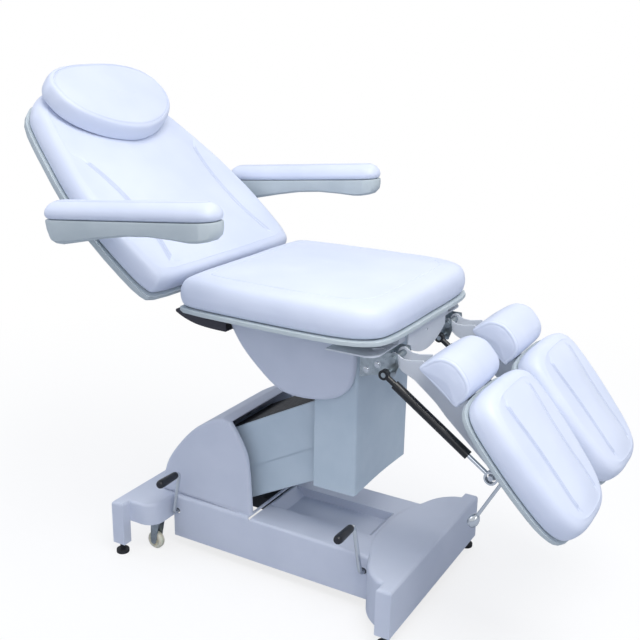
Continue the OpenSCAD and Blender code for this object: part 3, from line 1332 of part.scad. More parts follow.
base_frame();
rear_base_cover();
front_base_cover();
lift_hood();
levelling_feet();
power_inlet();
lift_actuator_body();
lift_actuator_rod();
upper_lift_arm();
lower_lift_arm();
column_frame();
column_cover();
rear_crank();
rear_crank_grip();
front_crank();
front_crank_grip();
rear_castor_bar();
front_castor_bar();
castor_fork_rear_left();
castor_fork_rear_right();
castor_fork_front_left();
castor_fork_front_right();
castor_wheel_rear_left();
castor_wheel_rear_right();
castor_wheel_front_left();
castor_wheel_front_right();
seat_frame();
pedestal_cover();
rear_under_cover();
seat_tray();
seat_cushion();
seat_front_plates();
tilt_actuator_body();
tilt_actuator_rod();
back_actuator_body();
back_actuator_rod();
back_frame();
back_shell();
back_cushion();
head_pillow();
arm_shell_left();
arm_pad_left();
arm_shell_right();
arm_pad_right();
leg_bracket_left();
leg_arm_left();
leg_shell_left();
leg_cushion_left();
knee_pad_left();
gas_spring_cylinder_left();
gas_spring_rod_left();
release_lever_left();
leg_bracket_right();
leg_arm_right();
leg_shell_right();
leg_cushion_right();
knee_pad_right();
gas_spring_cylinder_right();
gas_spring_rod_right();
release_lever_right();
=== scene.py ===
# Looks of the facial bed: upholstery, moulded covers, painted and plated steel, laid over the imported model
import bmesh
import bpy
import json
import math
from mathutils import Matrix, Vector, noise

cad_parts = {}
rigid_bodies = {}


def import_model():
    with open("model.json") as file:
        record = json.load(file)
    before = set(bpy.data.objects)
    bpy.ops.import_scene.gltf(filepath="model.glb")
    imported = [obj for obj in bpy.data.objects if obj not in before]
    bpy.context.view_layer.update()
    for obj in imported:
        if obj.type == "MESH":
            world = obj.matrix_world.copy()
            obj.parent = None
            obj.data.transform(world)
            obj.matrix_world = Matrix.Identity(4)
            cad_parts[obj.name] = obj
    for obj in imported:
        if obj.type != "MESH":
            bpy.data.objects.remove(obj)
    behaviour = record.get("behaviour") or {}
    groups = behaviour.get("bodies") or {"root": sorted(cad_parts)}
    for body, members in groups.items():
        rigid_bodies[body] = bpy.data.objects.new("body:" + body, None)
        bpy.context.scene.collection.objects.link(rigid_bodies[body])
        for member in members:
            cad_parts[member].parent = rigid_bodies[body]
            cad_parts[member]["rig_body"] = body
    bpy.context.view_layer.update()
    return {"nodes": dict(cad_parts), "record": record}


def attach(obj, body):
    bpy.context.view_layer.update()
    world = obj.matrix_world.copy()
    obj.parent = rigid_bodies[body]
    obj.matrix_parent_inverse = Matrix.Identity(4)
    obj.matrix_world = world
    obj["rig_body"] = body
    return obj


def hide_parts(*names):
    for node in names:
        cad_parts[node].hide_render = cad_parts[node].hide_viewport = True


mm = 0.001
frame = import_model()
nodes = frame["nodes"]
print("frame loaded, nodes:", len(nodes))


# Colours and node helpers

def linearColour(hexCode):
    parts = [int(hexCode[i:i + 2], 16) / 255 for i in (1, 3, 5)]
    return [v / 12.92 if v <= 0.04045 else ((v + 0.055) / 1.055) ** 2.4 for v in parts] + [1]


def addNode(tree, kind, settings=None, links=None):
    node = tree.nodes.new(kind)
    for key, value in (settings or {}).items():
        if isinstance(key, str) and hasattr(node, key):
            setattr(node, key, value)
        else:
            node.inputs[key].default_value = value
    for key, source in (links or {}).items():
        tree.links.new(source, node.inputs[key])
    return node


def startFinish(name):
    finish = bpy.data.materials.new(name)
    finish.use_nodes = True
    finish.node_tree.nodes.clear()
    place = addNode(finish.node_tree, "ShaderNodeTexCoord").outputs["Object"]
    return finish, finish.node_tree, place


def closeFinish(tree, settings, colour=None, roughness=None, normal=None):
    links = {"Base Color": colour, "Roughness": roughness, "Normal": normal}
    links = {key: source for key, source in links.items() if source}
    shader = addNode(tree, "ShaderNodeBsdfPrincipled", settings, links)
    addNode(tree, "ShaderNodeOutputMaterial", links={"Surface": shader.outputs["BSDF"]})


def cloudy(tree, place, sizeMm, detail=2):  # a soft uneven pattern of that size
    return addNode(tree, "ShaderNodeTexNoise", {"Scale": 1 / (sizeMm * mm), "Detail": detail},
                   {"Vector": place}).outputs["Fac"]


def pebbled(tree, place, sizeMm):  # cells, as an embossed or spark-eroded tool leaves them
    return addNode(tree, "ShaderNodeTexVoronoi", {"Scale": 1 / (sizeMm * mm), "feature": "SMOOTH_F1"},
                   {"Vector": place}).outputs["Distance"]


def spread(tree, pattern, low, high):
    return addNode(tree, "ShaderNodeMapRange", {"From Min": 0.3, "From Max": 0.7, "To Min": low, "To Max": high},
                   {"Value": pattern}).outputs["Result"]


def tinted(tree, pattern, first, second):
    return addNode(tree, "ShaderNodeMix", {"data_type": "RGBA", 6: linearColour(first), 7: linearColour(second)},
                   {0: spread(tree, pattern, 0, 1)}).outputs[2]


def relief(tree, pattern, depthMm, strength=1.0, under=None):
    links = {"Height": pattern}
    if under:
        links["Normal"] = under
    return addNode(tree, "ShaderNodeBump", {"Distance": depthMm * mm, "Strength": strength}, links).outputs["Normal"]


# Finishes

def vinylCloth():
    # PVC coated cloth, embossed with a fine hide grain: soft highlights, small puckers where it is sewn, and painted
    # shade that darkens the colour along the seams
    finish, tree, place = startFinish("whiteVinylCloth")
    grainMm, puckerMm, slackMm = 1.6, 11, 95  # the real grain is near 0.8 mm, drawn coarser so that it shows
    soft = relief(tree, cloudy(tree, place, slackMm), 5, 0.35)
    sewn = addNode(tree, "ShaderNodeAttribute", {"attribute_name": "seamNear"}).outputs["Fac"]
    pucker = addNode(tree, "ShaderNodeMath", {"operation": "MULTIPLY"},
                     {0: sewn, 1: cloudy(tree, place, puckerMm, 1)}).outputs[0]
    soft = relief(tree, pucker, 2.2, 0.5, soft)
    grain = relief(tree, pebbled(tree, place, grainMm), 0.12, 0.35, soft)
    # painted shade: along each seam the colour is pulled towards a darker blue-grey, standing in for the shade in the
    # seam's valley
    fold = addNode(tree, "ShaderNodeMath", {"operation": "POWER", 1: 14}, {0: sewn}).outputs[0]
    seamShade = addNode(tree, "ShaderNodeMath", {"operation": "MULTIPLY", 1: 0.36}, {0: fold}).outputs[0]
    clean = tinted(tree, cloudy(tree, place, 160), "#D9E0F1", "#E1E7F6")
    colour = addNode(tree, "ShaderNodeMix", {"data_type": "RGBA", 7: linearColour("#9FA9C6")},
                     {0: seamShade, 6: clean}).outputs[2]
    rough = spread(tree, cloudy(tree, place, 40), 0.40, 0.50)
    closeFinish(tree, {"IOR": 1.5, "Coat Weight": 0.08, "Coat Roughness": 0.35}, colour, rough, grain)
    return finish


def mouldedCover():
    # Thick ABS moulding from a spark-eroded tool: even satin with a fine stipple, a little dusty in patches
    finish, tree, place = startFinish("satinMouldedAbs")
    colour = tinted(tree, cloudy(tree, place, 120, 4), "#CBD1DF", "#D3D8E5")
    rough = spread(tree, cloudy(tree, place, 30), 0.40, 0.52)
    normal = relief(tree, pebbled(tree, place, 1.8), 0.1, 0.4, relief(tree, cloudy(tree, place, 140), 3, 0.25))
    closeFinish(tree, {"IOR": 1.5}, colour, rough, normal)
    return finish


def paintedSheet(name, first, second, rough=(0.34, 0.46)):
    # Powder coat on sheet steel: smooth with a shallow orange peel
    finish, tree, place = startFinish(name)
    colour = tinted(tree, cloudy(tree, place, 90, 3), first, second)
    normal = relief(tree, cloudy(tree, place, 3.2, 1), 0.14, 0.35)
    closeFinish(tree, {"IOR": 1.5}, colour, spread(tree, cloudy(tree, place, 25), *rough), normal)
    return finish


def shellMoulding(name, first, second):
    # Vacuum-formed or blow-moulded plastic with a very fine matt stipple
    finish, tree, place = startFinish(name)
    colour = tinted(tree, cloudy(tree, place, 110, 3), first, second)
    normal = relief(tree, pebbled(tree, place, 1.2), 0.07, 0.4)
    closeFinish(tree, {"IOR": 1.5}, colour, spread(tree, cloudy(tree, place, 22), 0.42, 0.55), normal)
    return finish


def chromePlate():
    # Decorative chrome over polished steel: sharp reflections, faint smears
    finish, tree, place = startFinish("chromePlate")
    rough = spread(tree, cloudy(tree, place, 18, 4), 0.06, 0.16)
    closeFinish(tree, {"Base Color": linearColour("#D4D8DC"), "Metallic": 1}, None, rough,
                relief(tree, cloudy(tree, place, 6), 0.03, 0.3))
    return finish


def zincPlate():
    # Bright zinc on pressed steel: grey with a cloudy passivated film and fine rolling marks
    finish, tree, place = startFinish("zincPlatedSteel")
    colour = tinted(tree, cloudy(tree, place, 14, 5), "#9AA3A8", "#BCC4C8")
    rough = spread(tree, cloudy(tree, place, 5, 4), 0.26, 0.42)
    drawn = addNode(tree, "ShaderNodeMapping", {"Scale": (20, 1, 1)}, {"Vector": place}).outputs["Vector"]
    closeFinish(tree, {"Metallic": 1}, colour, rough, relief(tree, cloudy(tree, drawn, 9), 0.03, 0.4))
    return finish


def blackMoulding(name, first, second, rough, grainMm):
    # Black plastic or rubber with a fine leathery stipple, greyer where hands and floors rub it
    finish, tree, place = startFinish(name)
    colour = tinted(tree, cloudy(tree, place, 12, 4), first, second)
    normal = relief(tree, pebbled(tree, place, grainMm), 0.12, 0.5)
    closeFinish(tree, {"IOR": 1.5}, colour, spread(tree, cloudy(tree, place, 8), *rough), normal)
    return finish


def castorNylon():
    # Cast nylon wheel: cream, slightly waxy, with scuffs
    finish, tree, place = startFinish("castorNylon")
    colour = tinted(tree, cloudy(tree, place, 7, 5), "#D8D3BC", "#E6E2CE")
    closeFinish(tree, {"IOR": 1.53, "Subsurface Weight": 0.05, "Subsurface Scale": 0.002}, colour,
                spread(tree, cloudy(tree, place, 4, 4), 0.35, 0.55), relief(tree, cloudy(tree, place, 2), 0.08, 0.4))
    return finish


def sewingThread():
    # Bonded polyester thread: two plies that catch the light across the stitch
    finish, tree, place = startFinish("polyesterThread")
    ply = addNode(tree, "ShaderNodeTexWave", {"Scale": 1 / (1.4 * mm), "bands_direction": "DIAGONAL"},
                  {"Vector": place}).outputs["Fac"]
    closeFinish(tree, {"IOR": 1.5}, tinted(tree, cloudy(tree, place, 3), "#D9DFEE", "#E6EBF6"),
                spread(tree, ply, 0.45, 0.6), relief(tree, ply, 0.1, 0.4))
    return finish


finishes = {
    "white_vinyl": vinylCloth(),
    "moulded_cover": mouldedCover(),
    "painted_steel": paintedSheet("blueGreyPowderCoat", "#BAC9D4", "#C4D1DB"),
    "white_steel": paintedSheet("whitePowderCoat", "#D2D7DE", "#DDE1E7"),
    "frame_steel": paintedSheet("greyFramePaint", "#6B6F76", "#7A7E85", (0.45, 0.6)),
    "actuator_grey": paintedSheet("actuatorPaint", "#3A3D42", "#474A50", (0.4, 0.55)),
    "black_cylinder": paintedSheet("springTubePaint", "#101216", "#1A1C21", (0.22, 0.34)),
    "grey_shell": shellMoulding("greyShellPlastic", "#BCC6C9", "#C8D1D3"),
    "dark_panel": shellMoulding("darkPanelPlastic", "#2F2E36", "#3A3942"),
    "chrome_rod": chromePlate(),
    "zinc_steel": zincPlate(),
    "castor_tread": castorNylon(),
    "black_grip": blackMoulding("gripPlastic", "#14161B", "#22252C", (0.32, 0.46), 1.4),
    "black_rubber": blackMoulding("footRubber", "#17181B", "#2A2B2F", (0.6, 0.8), 2.2),
}
thread = sewingThread()
print("finishes ready:", len(finishes))


# Piece helpers

def keepPiece(name, mesh, body, slot, finish=None, smoothDeg=None):
    piece = bpy.data.objects.new(name, mesh)
    bpy.context.scene.collection.objects.link(piece)
    piece.data.materials.clear()
    piece.data.materials.append(finish or finishes[slot])
    if smoothDeg is not None:
        for face in piece.data.polygons:
            face.use_smooth = True
        piece.data.set_sharp_from_angle(angle=math.radians(smoothDeg))
    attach(piece, body)
    return piece


def flattened(piece, *modifiers):  # the piece's mesh with its modifiers worked in
    for kind, settings in modifiers:
        modifier = piece.modifiers.new(kind.lower(), kind)
        for key, value in settings.items():
            setattr(modifier, key, value)
    bpy.context.view_layer.update()
    shaped = piece.evaluated_get(bpy.context.evaluated_depsgraph_get())
    mesh = bpy.data.meshes.new_from_object(shaped)
    piece.modifiers.clear()
    piece.data = mesh
    return piece


def catmull(a, b, c, d, t):
    return tuple((2 * q + (r - p) * t + (2 * p - 5 * q + 4 * r - s) * t ** 2 + (3 * q - p - 3 * r + s) * t ** 3) / 2
                 for p, q, r, s in zip(a, b, c, d))


def closedCurve(points, steps):
    count = len(points)
    return [catmull(points[i - 1], points[i], points[(i + 1) % count], points[(i + 2) % count], k / steps)
            for i in range(count) for k in range(steps)]


def openCurve(points, steps):
    last = len(points) - 1
    made = [catmull(points[max(i - 1, 0)], points[i], points[i + 1], points[min(i + 2, last)], k / steps)
            for i in range(last) for k in range(steps)]
    return made + [points[-1]]


def mirrored(half):  # a half outline along +x, to the full one round both sides
    return [(x, -y) for x, y in half] + [(x, y) for x, y in reversed(half) if y > 0]


# Upholstery: every pad is a crowned form with drawn-in sides and a sewn seam, in its own frame of millimetres

sideShares = [(0.38, 0), (0.12, 0.1), (0.01, 0.32), (0, 0.5), (0.06, 0.7), (0.2, 0.86), (0.42, 0.955), (0.75, 1)]


def paddedRings(plan, s):
    xs = [x for x, y in plan]
    middle, halfX = (min(xs) + max(xs)) / 2, (max(xs) - min(xs)) / 2
    halfY = max(y for x, y in plan)
    half = min(halfX, halfY)
    seam, width = s["seamIn"], s["seamWidth"]
    first, last = s.get("span", (0, 1))
    fade = s.get("fade", 0)

    def ring(inset, height, bow, valley=0):
        made = []
        for x, y in plan:
            along = (x - min(xs)) / (2 * halfX)
            shows = min(max((along - first) / fade, 0), max((last - along) / fade, 0), 1) if fade else 1
            ownX = middle + (x - middle) * (halfX - inset) / halfX
            inSpan = min(max(((ownX - min(xs)) / (2 * halfX) - first) / (last - first), 0), 1)
            pull = bow * s.get("bow", 0) * math.sin(math.pi * inSpan) ** s.get("bowPower", 1)
            made.append((ownX, y * max(halfY - inset - pull, 0) / halfY, height - valley * shows, shows))
        return made

    def crownAt(inset):
        share = min(inset / half, 1)
        return s["thick"] + s["crown"] * (1 - (1 - share) ** 2.4)

    rings = [(ring(half * share, 0, 0), 0.0) for share in (0.8, 0.55, 0.3)]
    rings += [(ring(share * s["roll"], height * crownAt(share * s["roll"]), 0), 0.0)
              for share, height in openCurve(sideShares, 3)]
    start = 0.75 * s["roll"]
    for k in range(1, 8):  # the border panel, a little proud between the edge and the seam
        u = k / 8
        inset = start + (seam - 1.6 * width - start) * u
        rings.append((ring(inset, crownAt(inset) + s["puff"] * math.sin(math.pi * u), u), u ** 3))
    for k in (-1.2, -0.7, -0.3, 0, 0.3, 0.7, 1.2):  # the seam's valley
        inset = seam + k * width
        valley = s["seamDeep"] * math.exp(-(k / 0.42) ** 2)
        rings.append((ring(inset, crownAt(inset), 1, valley), 1.0))
    reach = 0.965 * half - s.get("bow", 0)
    steps = max(6, int((reach - seam) / 12))
    for k in range(1, steps + 1):
        u = k / steps
        inset = seam + 1.2 * width + (reach - seam - 1.2 * width) * u
        lift = s["puff"] * 1.3 * (1 - math.exp(-(inset - seam - 1.2 * width) / 22))
        rings.append((ring(inset, crownAt(inset) + lift, 1), math.exp(-(inset - seam) / 16)))
    return rings


def paddedMesh(name, plan, s, place):
    rings = paddedRings(plan, s)
    count = len(plan)
    form = bmesh.new()
    near = form.verts.layers.float.new("seamNear")
    rows = []
    for ring, closeness in rings:
        row = []
        for x, y, z, shows in ring:
            vert = form.verts.new((x, y, z))
            vert[near] = closeness * shows * s.get("line", 1)
            row.append(vert)
        rows.append(row)
    for low, high in zip(rows, rows[1:]):
        for i in range(count):
            j = (i + 1) % count
            form.faces.new((low[i], low[j], high[j], high[i]))
    for row, turn in ((rows[0], -1), (rows[-1], 1)):  # strips across the middle line close both ends
        for i in range(count // 2):
            corners = [row[i], row[i + 1], row[(count - i - 1) % count], row[(count - i) % count]]
            corners = list(dict.fromkeys(corners))
            if len(corners) > 2:
                form.faces.new(corners[::turn])
    form.normal_update()
    soft = s.get("slack", 0.9)
    for vert in form.verts:  # foam and cloth are never quite even
        if vert.co.z > 0.2 * s["thick"]:
            broad = noise.noise(vert.co * 0.011 + Vector((s["seed"], 0, 0)))
            fine = noise.noise(vert.co * 0.034 + Vector((0, s["seed"], 0)))
            vert.co += vert.normal * soft * (1.1 * broad + 0.4 * fine)
    form.transform(place @ Matrix.Scale(mm, 4))
    mesh = bpy.data.meshes.new(name)
    form.to_mesh(mesh)
    form.free()
    return mesh


def stitchRow(name, plan, s, place, body):  # lockstitches along the inner side of a seam
    path = paddedRings(plan, dict(s, seamIn=s["seamIn"]))
    valley = [ring for ring, closeness in path if closeness == 1.0]
    line = [Vector(p[:3]) for p in valley[5]]
    form = bmesh.new()
    pitch, length, radius = s.get("pitch", 5), 3.4, 0.42
    count, carried = len(line), 0.0
    ends = [min(x for x, y in plan), max(x for x, y in plan)]
    first, last = (ends[0] + (ends[1] - ends[0]) * share for share in s.get("span", (-1, 2)))
    for i in range(count):
        a, b = line[i], line[(i + 1) % count]
        if not first < plan[i][0] < last:
            continue
        span = (b - a).length
        while carried < span:
            at = a + (b - a) * (carried / span)
            ahead = (b - a).normalized()
            across = ahead.cross(Vector((0, 0, 1))).normalized()
            up = across.cross(ahead)
            rings = []
            for t, r in ((-0.5, 0.45), (-0.32, 0.95), (0, 1.05), (0.32, 0.95), (0.5, 0.45)):
                sink = 0.9 * (2 * abs(t)) ** 2
                rings.append([form.verts.new(at + ahead * t * length + up * (0.35 - sink)
                                             + (across * math.cos(q) + up * math.sin(q)) * r * radius)
                              for q in [k * math.tau / 6 for k in range(6)]])
            for low, high in zip(rings, rings[1:]):
                for k in range(6):
                    form.faces.new((low[k], high[k], high[(k + 1) % 6], low[(k + 1) % 6]))
            form.faces.new(rings[0])
            form.faces.new(rings[-1][::-1])
            carried += pitch
        carried -= span
    bmesh.ops.recalc_face_normals(form, faces=form.faces)
    form.transform(place @ Matrix.Scale(mm, 4))
    mesh = bpy.data.meshes.new(name)
    form.to_mesh(mesh)
    form.free()
    return keepPiece(name, mesh, body, "white_vinyl", thread, 60)


def upholster(name, node, body, half, size, s, place, stitched=True):
    steps = s.get("steps", 8)
    plan = closedCurve(mirrored([(x * size[0], y * size[1]) for x, y in half]), steps)
    plan = [(x + s.get("from", 0), y) for x, y in plan]
    pad = keepPiece(name, paddedMesh(name, plan, s, place), body, "white_vinyl", None, 180)
    flattened(pad, ("SUBSURF", {"levels": 1, "render_levels": 1}))
    for face in pad.data.polygons:
        face.use_smooth = True
    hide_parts(node)
    if stitched:
        stitchRow(name + "Stitches", plan, s, place, body)
    return pad


softGap = 0.3

seat = {"low": 760, "rear": -226, "front": 336, "halfWidth": 298,
        "pad": {"thick": 74, "crown": 14, "roll": 38, "seamIn": 56, "seamWidth": 3, "seamDeep": 1.5, "puff": 0.5,
                "line": 0.8, "seed": 3.1, "from": -226}}
seatHalf = [(0, 0), (0, 0.5), (0.008, 0.82), (0.05, 0.95), (0.3, 0.985), (0.6, 1), (0.82, 0.985), (0.93, 0.92),
            (0.985, 0.79), (1, 0.5), (1, 0)]
upholster("seatPad", "seat_cushion", "seat", seatHalf, (seat["front"] - seat["rear"], seat["halfWidth"]),
          seat["pad"], Matrix.Translation((0, 0, seat["low"] * mm)))

back = {"hinge": (-262, 0, 757), "lean": 40, "low": 30, "length": 716, "halfWidth": 322,
        "pad": {"thick": 62, "crown": 16, "roll": 36, "seamIn": 36, "seamWidth": 5, "seamDeep": 3.6, "puff": 0.8,
                "bow": 92, "bowPower": 0.55, "span": (0.38, 0.995), "fade": 0.03, "seed": 7.7, "from": -716}}
backHalf = [(0, 0), (0.006, 0.31), (0.04, 0.54), (0.11, 0.7), (0.2, 0.78), (0.32, 0.855), (0.48, 0.945), (0.67, 1),
            (0.86, 0.995), (0.965, 0.96), (0.994, 0.87), (1, 0.5), (1, 0)]
onBack = Matrix.Translation(Vector(back["hinge"]) * mm) @ Matrix.Rotation(math.radians(back["lean"]), 4, "Y")
upholster("backPad", "back_cushion", "back", backHalf, (back["length"] - back["low"], back["halfWidth"]),
          back["pad"], onBack @ Matrix.Translation((0, 0, softGap * mm)))

pillow = {"low": 478, "length": 232, "halfWidth": 213,
          "pad": {"thick": 53, "crown": 6, "roll": 14, "seamIn": 14, "seamWidth": 1.8, "seamDeep": 1.8, "puff": 0.6,
                  "line": 0.93, "seed": 1.3}}
pillowHalf = [(0, 0), (0.01, 0.38), (0.055, 0.66), (0.14, 0.86), (0.27, 0.98), (0.41, 1), (0.53, 0.98), (0.68, 0.88),
              (0.83, 0.67), (0.945, 0.38), (1, 0)]
pillowLong = pillow["length"] + 2 * pillow["pad"]["roll"]
pillow["pad"]["from"] = -pillow["low"] - pillow["length"] - pillow["pad"]["roll"]
onPillow = onBack @ Matrix.Translation((0, 0, (back["pad"]["thick"] + back["pad"]["crown"] + 2 * softGap) * mm))
upholster("headPillow", "head_pillow", "back", pillowHalf, (pillowLong, pillow["halfWidth"]), pillow["pad"],
          onPillow, stitched=False)

armrest = {"rear": (-515, 388, 967), "rise": 5.3, "length": 508, "width": 84,
           "pad": {"thick": 32, "crown": 12, "roll": 30, "seamIn": 26.5, "seamWidth": 1.5, "seamDeep": 0, "puff": 0,
                   "slack": 0.5, "seed": 5.2, "steps": 7}}
armHalf = [(0, 0), (0.004, 0.55), (0.025, 0.86), (0.09, 1), (0.5, 1), (0.76, 1), (0.87, 0.972), (0.945, 0.86),
           (0.985, 0.54), (1, 0)]

leg = {"across": 160, "at": (520.4, 651.5), "slope": 50, "length": 366, "halfWidth": 151, "shell": 15,
       "pad": {"thick": 62, "crown": 12, "roll": 32, "seamIn": 31, "seamWidth": 4, "seamDeep": 3.2, "puff": 0.8,
               "bow": 54, "bowPower": 0.45, "span": (0.02, 0.97), "fade": 0.05, "seed": 9.4}}
legHalf = [(0, 0), (0.004, 0.5), (0.035, 0.8), (0.12, 0.955), (0.3, 1), (0.5, 0.99), (0.66, 0.95), (0.81, 0.88),
           (0.91, 0.765), (0.97, 0.6), (0.995, 0.36), (1, 0)]

knee = {"low": (419, 714), "high": (504, 647), "length": 110, "height": 74, "width": 196, "edge": 9, "seed": 2.6}
kneeHalf = [(0, 0), (0.5, 0), (1, 0), (1.04, 0.16), (1.06, 0.42), (1.0, 0.68), (0.86, 0.88), (0.64, 0.99), (0.4, 1),
            (0.18, 0.84), (0.06, 0.6), (0, 0.3)]


def kneePadMesh(name, y):
    a, b = Vector((knee["low"][0], 0, knee["low"][1])), Vector((knee["high"][0], 0, knee["high"][1]))
    ahead = (b - a).normalized()
    out = Vector((-ahead.z, 0, ahead.x))
    outline = [a + ahead * u * knee["length"] + out * max(v, 0) * knee["height"] for u, v in closedCurve(kneeHalf, 6)]
    centre = sum(outline, Vector()) / len(outline)
    half, edge = knee["width"] / 2, knee["edge"]
    # inset and place across: an end face, its rolled rim with a sewn seam, then the long top
    section = [(edge * 1.9, half + 1.4), (edge * 1.25, half + 0.8), (edge, half - 0.6), (edge * 0.75, half + 0.2),
               (edge * 0.4, half - 0.5), (edge * 0.12, half - 3), (0, half - 6), (0.5, half - 9), (-0.2, half - 13),
               (-0.9, half - 24), (-1.3, half - 45), (-1.5, half - 70)]
    section = section + [(inset, -across) for inset, across in reversed(section)]
    form = bmesh.new()
    near = form.verts.layers.float.new("seamNear")
    rows = []
    for inset, across in section:
        row = []
        for p in outline:
            span = centre - p
            vert = form.verts.new(p + span.normalized() * inset + Vector((0, y + across, 0)))
            vert[near] = math.exp(-((abs(across) - half + 7) / 7) ** 2)
            row.append(vert)
        rows.append(row)
    count = len(outline)
    for low, high in zip(rows, rows[1:]):
        for i in range(count):
            j = (i + 1) % count
            form.faces.new((low[i], low[j], high[j], high[i]))
    for row, side in ((rows[0], 1), (rows[-1], -1)):  # a domed end closes in three rings
        inner = row
        for share, bulge in ((0.62, 1.6), (0.3, 2.4)):
            ring = [form.verts.new(v.co + (centre + Vector((0, v.co.y, 0)) - v.co) * (1 - share)
                                   + Vector((0, side * bulge, 0))) for v in row]
            for i in range(count):
                j = (i + 1) % count
                form.faces.new((inner[i], inner[j], ring[j], ring[i]))
            inner = ring
        form.faces.new(inner)
    bmesh.ops.recalc_face_normals(form, faces=form.faces)
    for vert in form.verts:
        lift = noise.noise(vert.co * 0.02 + Vector((knee["seed"], y, 0)))
        if (vert.co - a).dot(out) > 6:
            vert.co += vert.normal * 0.9 * lift
    form.transform(Matrix.Scale(mm, 4))
    mesh = bpy.data.meshes.new(name)
    form.to_mesh(mesh)
    form.free()
    return mesh


for side, sign in (("left", 1), ("right", -1)):
    x, y, z = armrest["rear"]
    onArm = (Matrix.Translation(Vector((x, sign * y, z)) * mm)
             @ Matrix.Rotation(math.radians(-armrest["rise"]), 4, "Y") @ Matrix.Translation((0, 0, softGap * mm)))
    upholster("armPad" + side.title(), "arm_pad_" + side, "arm_" + side, armHalf,
              (armrest["length"], armrest["width"] / 2), armrest["pad"], onArm, stitched=False)
    x, z = leg["at"]
    onLeg = (Matrix.Translation(Vector((x, sign * leg["across"], z)) * mm)
             @ Matrix.Rotation(math.radians(leg["slope"]), 4, "Y")
             @ Matrix.Translation((0, 0, (leg["shell"] + softGap) * mm)))
    upholster("legPad" + side.title(), "leg_cushion_" + side, "leg_" + side, legHalf,
              (leg["length"], leg["halfWidth"]), leg["pad"], onLeg)
    name = "kneePad" + side.title()
    pad = keepPiece(name, kneePadMesh(name, sign * leg["across"]), "leg_" + side, "white_vinyl", None, 180)
    flattened(pad, ("SUBSURF", {"levels": 1, "render_levels": 1}))
    for face in pad.data.polygons:
        face.use_smooth = True
    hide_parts("knee_pad_" + side)
print("upholstery made")


# Rigid parts: each takes its finish from the record, and its small edges are broken as on the real part

edgeBreaks = {"rear_base_cover": 1.2, "front_base_cover": 1.2, "lift_hood": 1.2, "pedestal_cover": 1.2,
              "upper_lift_arm": 1.0, "lower_lift_arm": 1.0, "column_cover": 0.5, "seat_tray": 1.5,
              "levelling_feet": 1.2, "leg_arm_left": 0, "leg_arm_right": 0}
keptFacets = {"rear_base_cover", "front_base_cover", "back_frame"} | {
    "castor_fork_" + end + side for end in ("front_", "rear_") for side in ("left", "right")}  # they would gape
shownSlots = {sub["node"]: sub["material_slot"] for sub in frame["record"]["subparts"]}
hidden = {"seat_cushion", "back_cushion", "head_pillow"} | {
    part + side for part in ("arm_pad_", "leg_cushion_", "knee_pad_") for side in ("left", "right")}


def pieceName(node):
    first, *rest = node.split("_")
    return first + "".join(word.title() for word in rest)


def refillFlat(form, height):  # a flat side that folds over itself at the inner corners is filled anew
    flat = [face for face in form.faces if all(abs(vert.co.z - height) < 0.01 * mm for vert in face.verts)]
    bmesh.ops.delete(form, geom=flat, context="FACES")
    rim = [edge for edge in form.edges if edge.is_boundary]
    bmesh.ops.triangle_fill(form, edges=rim, use_beauty=True, normal=(0, 0, 1))


def dressNode(node, slot):
    source = nodes[node]
    form = bmesh.new()
    form.from_mesh(source.data)
    bmesh.ops.remove_doubles(form, verts=form.verts, dist=0.02 * mm)
    if node == "rear_base_cover":
        for height in (160, 156):
            refillFlat(form, height * mm)
    if node not in keptFacets:
        bmesh.ops.dissolve_limit(form, angle_limit=math.radians(0.4), verts=form.verts, edges=form.edges)
    mesh = bpy.data.meshes.new(pieceName(node))
    form.to_mesh(mesh)
    form.free()
    piece = keepPiece(pieceName(node), mesh, source["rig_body"], slot)
    width = edgeBreaks.get(node, 0.6) * mm
    if width:
        flattened(piece, ("BEVEL", {"width": width, "segments": 2, "limit_method": "ANGLE",
                                    "angle_limit": math.radians(38), "use_clamp_overlap": True,
                                    "harden_normals": False}))
    for face in piece.data.polygons:
        face.use_smooth = True
    piece.data.set_sharp_from_angle(angle=math.radians(32))
    flattened(piece, ("WEIGHTED_NORMAL", {"keep_sharp": True}))
    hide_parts(node)
    return piece


for node, slot in shownSlots.items():
    if node not in hidden:
        dressNode(node, slot)
print("rigid parts dressed:", len(shownSlots) - len(hidden))


# Small fittings that only the scene carries: a black strip on the upper lift arm, painted shade standing in for the
# shadow gap along its top, and domed bolts

# a thin black strip laid along the arm's top: painted shade for the shadow gap seen there
shadowGapStrip = {"pivot": (-200, 0, 307), "rise": 28, "top": 56.5, "thick": 1.2, "along": (40, 352), "halfWidth": 103}


def sealMesh(s):
    (x0, x1), y, z = s["along"], s["halfWidth"], s["top"]
    form = bmesh.new()
    bmesh.ops.create_cube(form, size=1)
    form.transform(Matrix.Translation(((x0 + x1) / 2, 0, z + s["thick"] / 2))
                   @ Matrix.Diagonal((x1 - x0, 2 * y, s["thick"], 1)))
    form.transform(Matrix.Translation(Vector(s["pivot"]) * mm)
                   @ Matrix.Rotation(math.radians(-s["rise"]), 4, "Y") @ Matrix.Scale(mm, 4))
    mesh = bpy.data.meshes.new("liftSealStrip")
    form.to_mesh(mesh)
    form.free()
    return mesh


# the black strip paints the shadow gap along the upper arm's top
flattened(keepPiece("liftSealStrip", sealMesh(shadowGapStrip), "upper_link", "black_rubber"),
          ("BEVEL", {"width": 0.4 * mm, "segments": 2}))

bolts = {"at": ((262, 666), (290, 684)), "legY": 160, "plateY": 37, "radius": 7, "rise": 3.6}


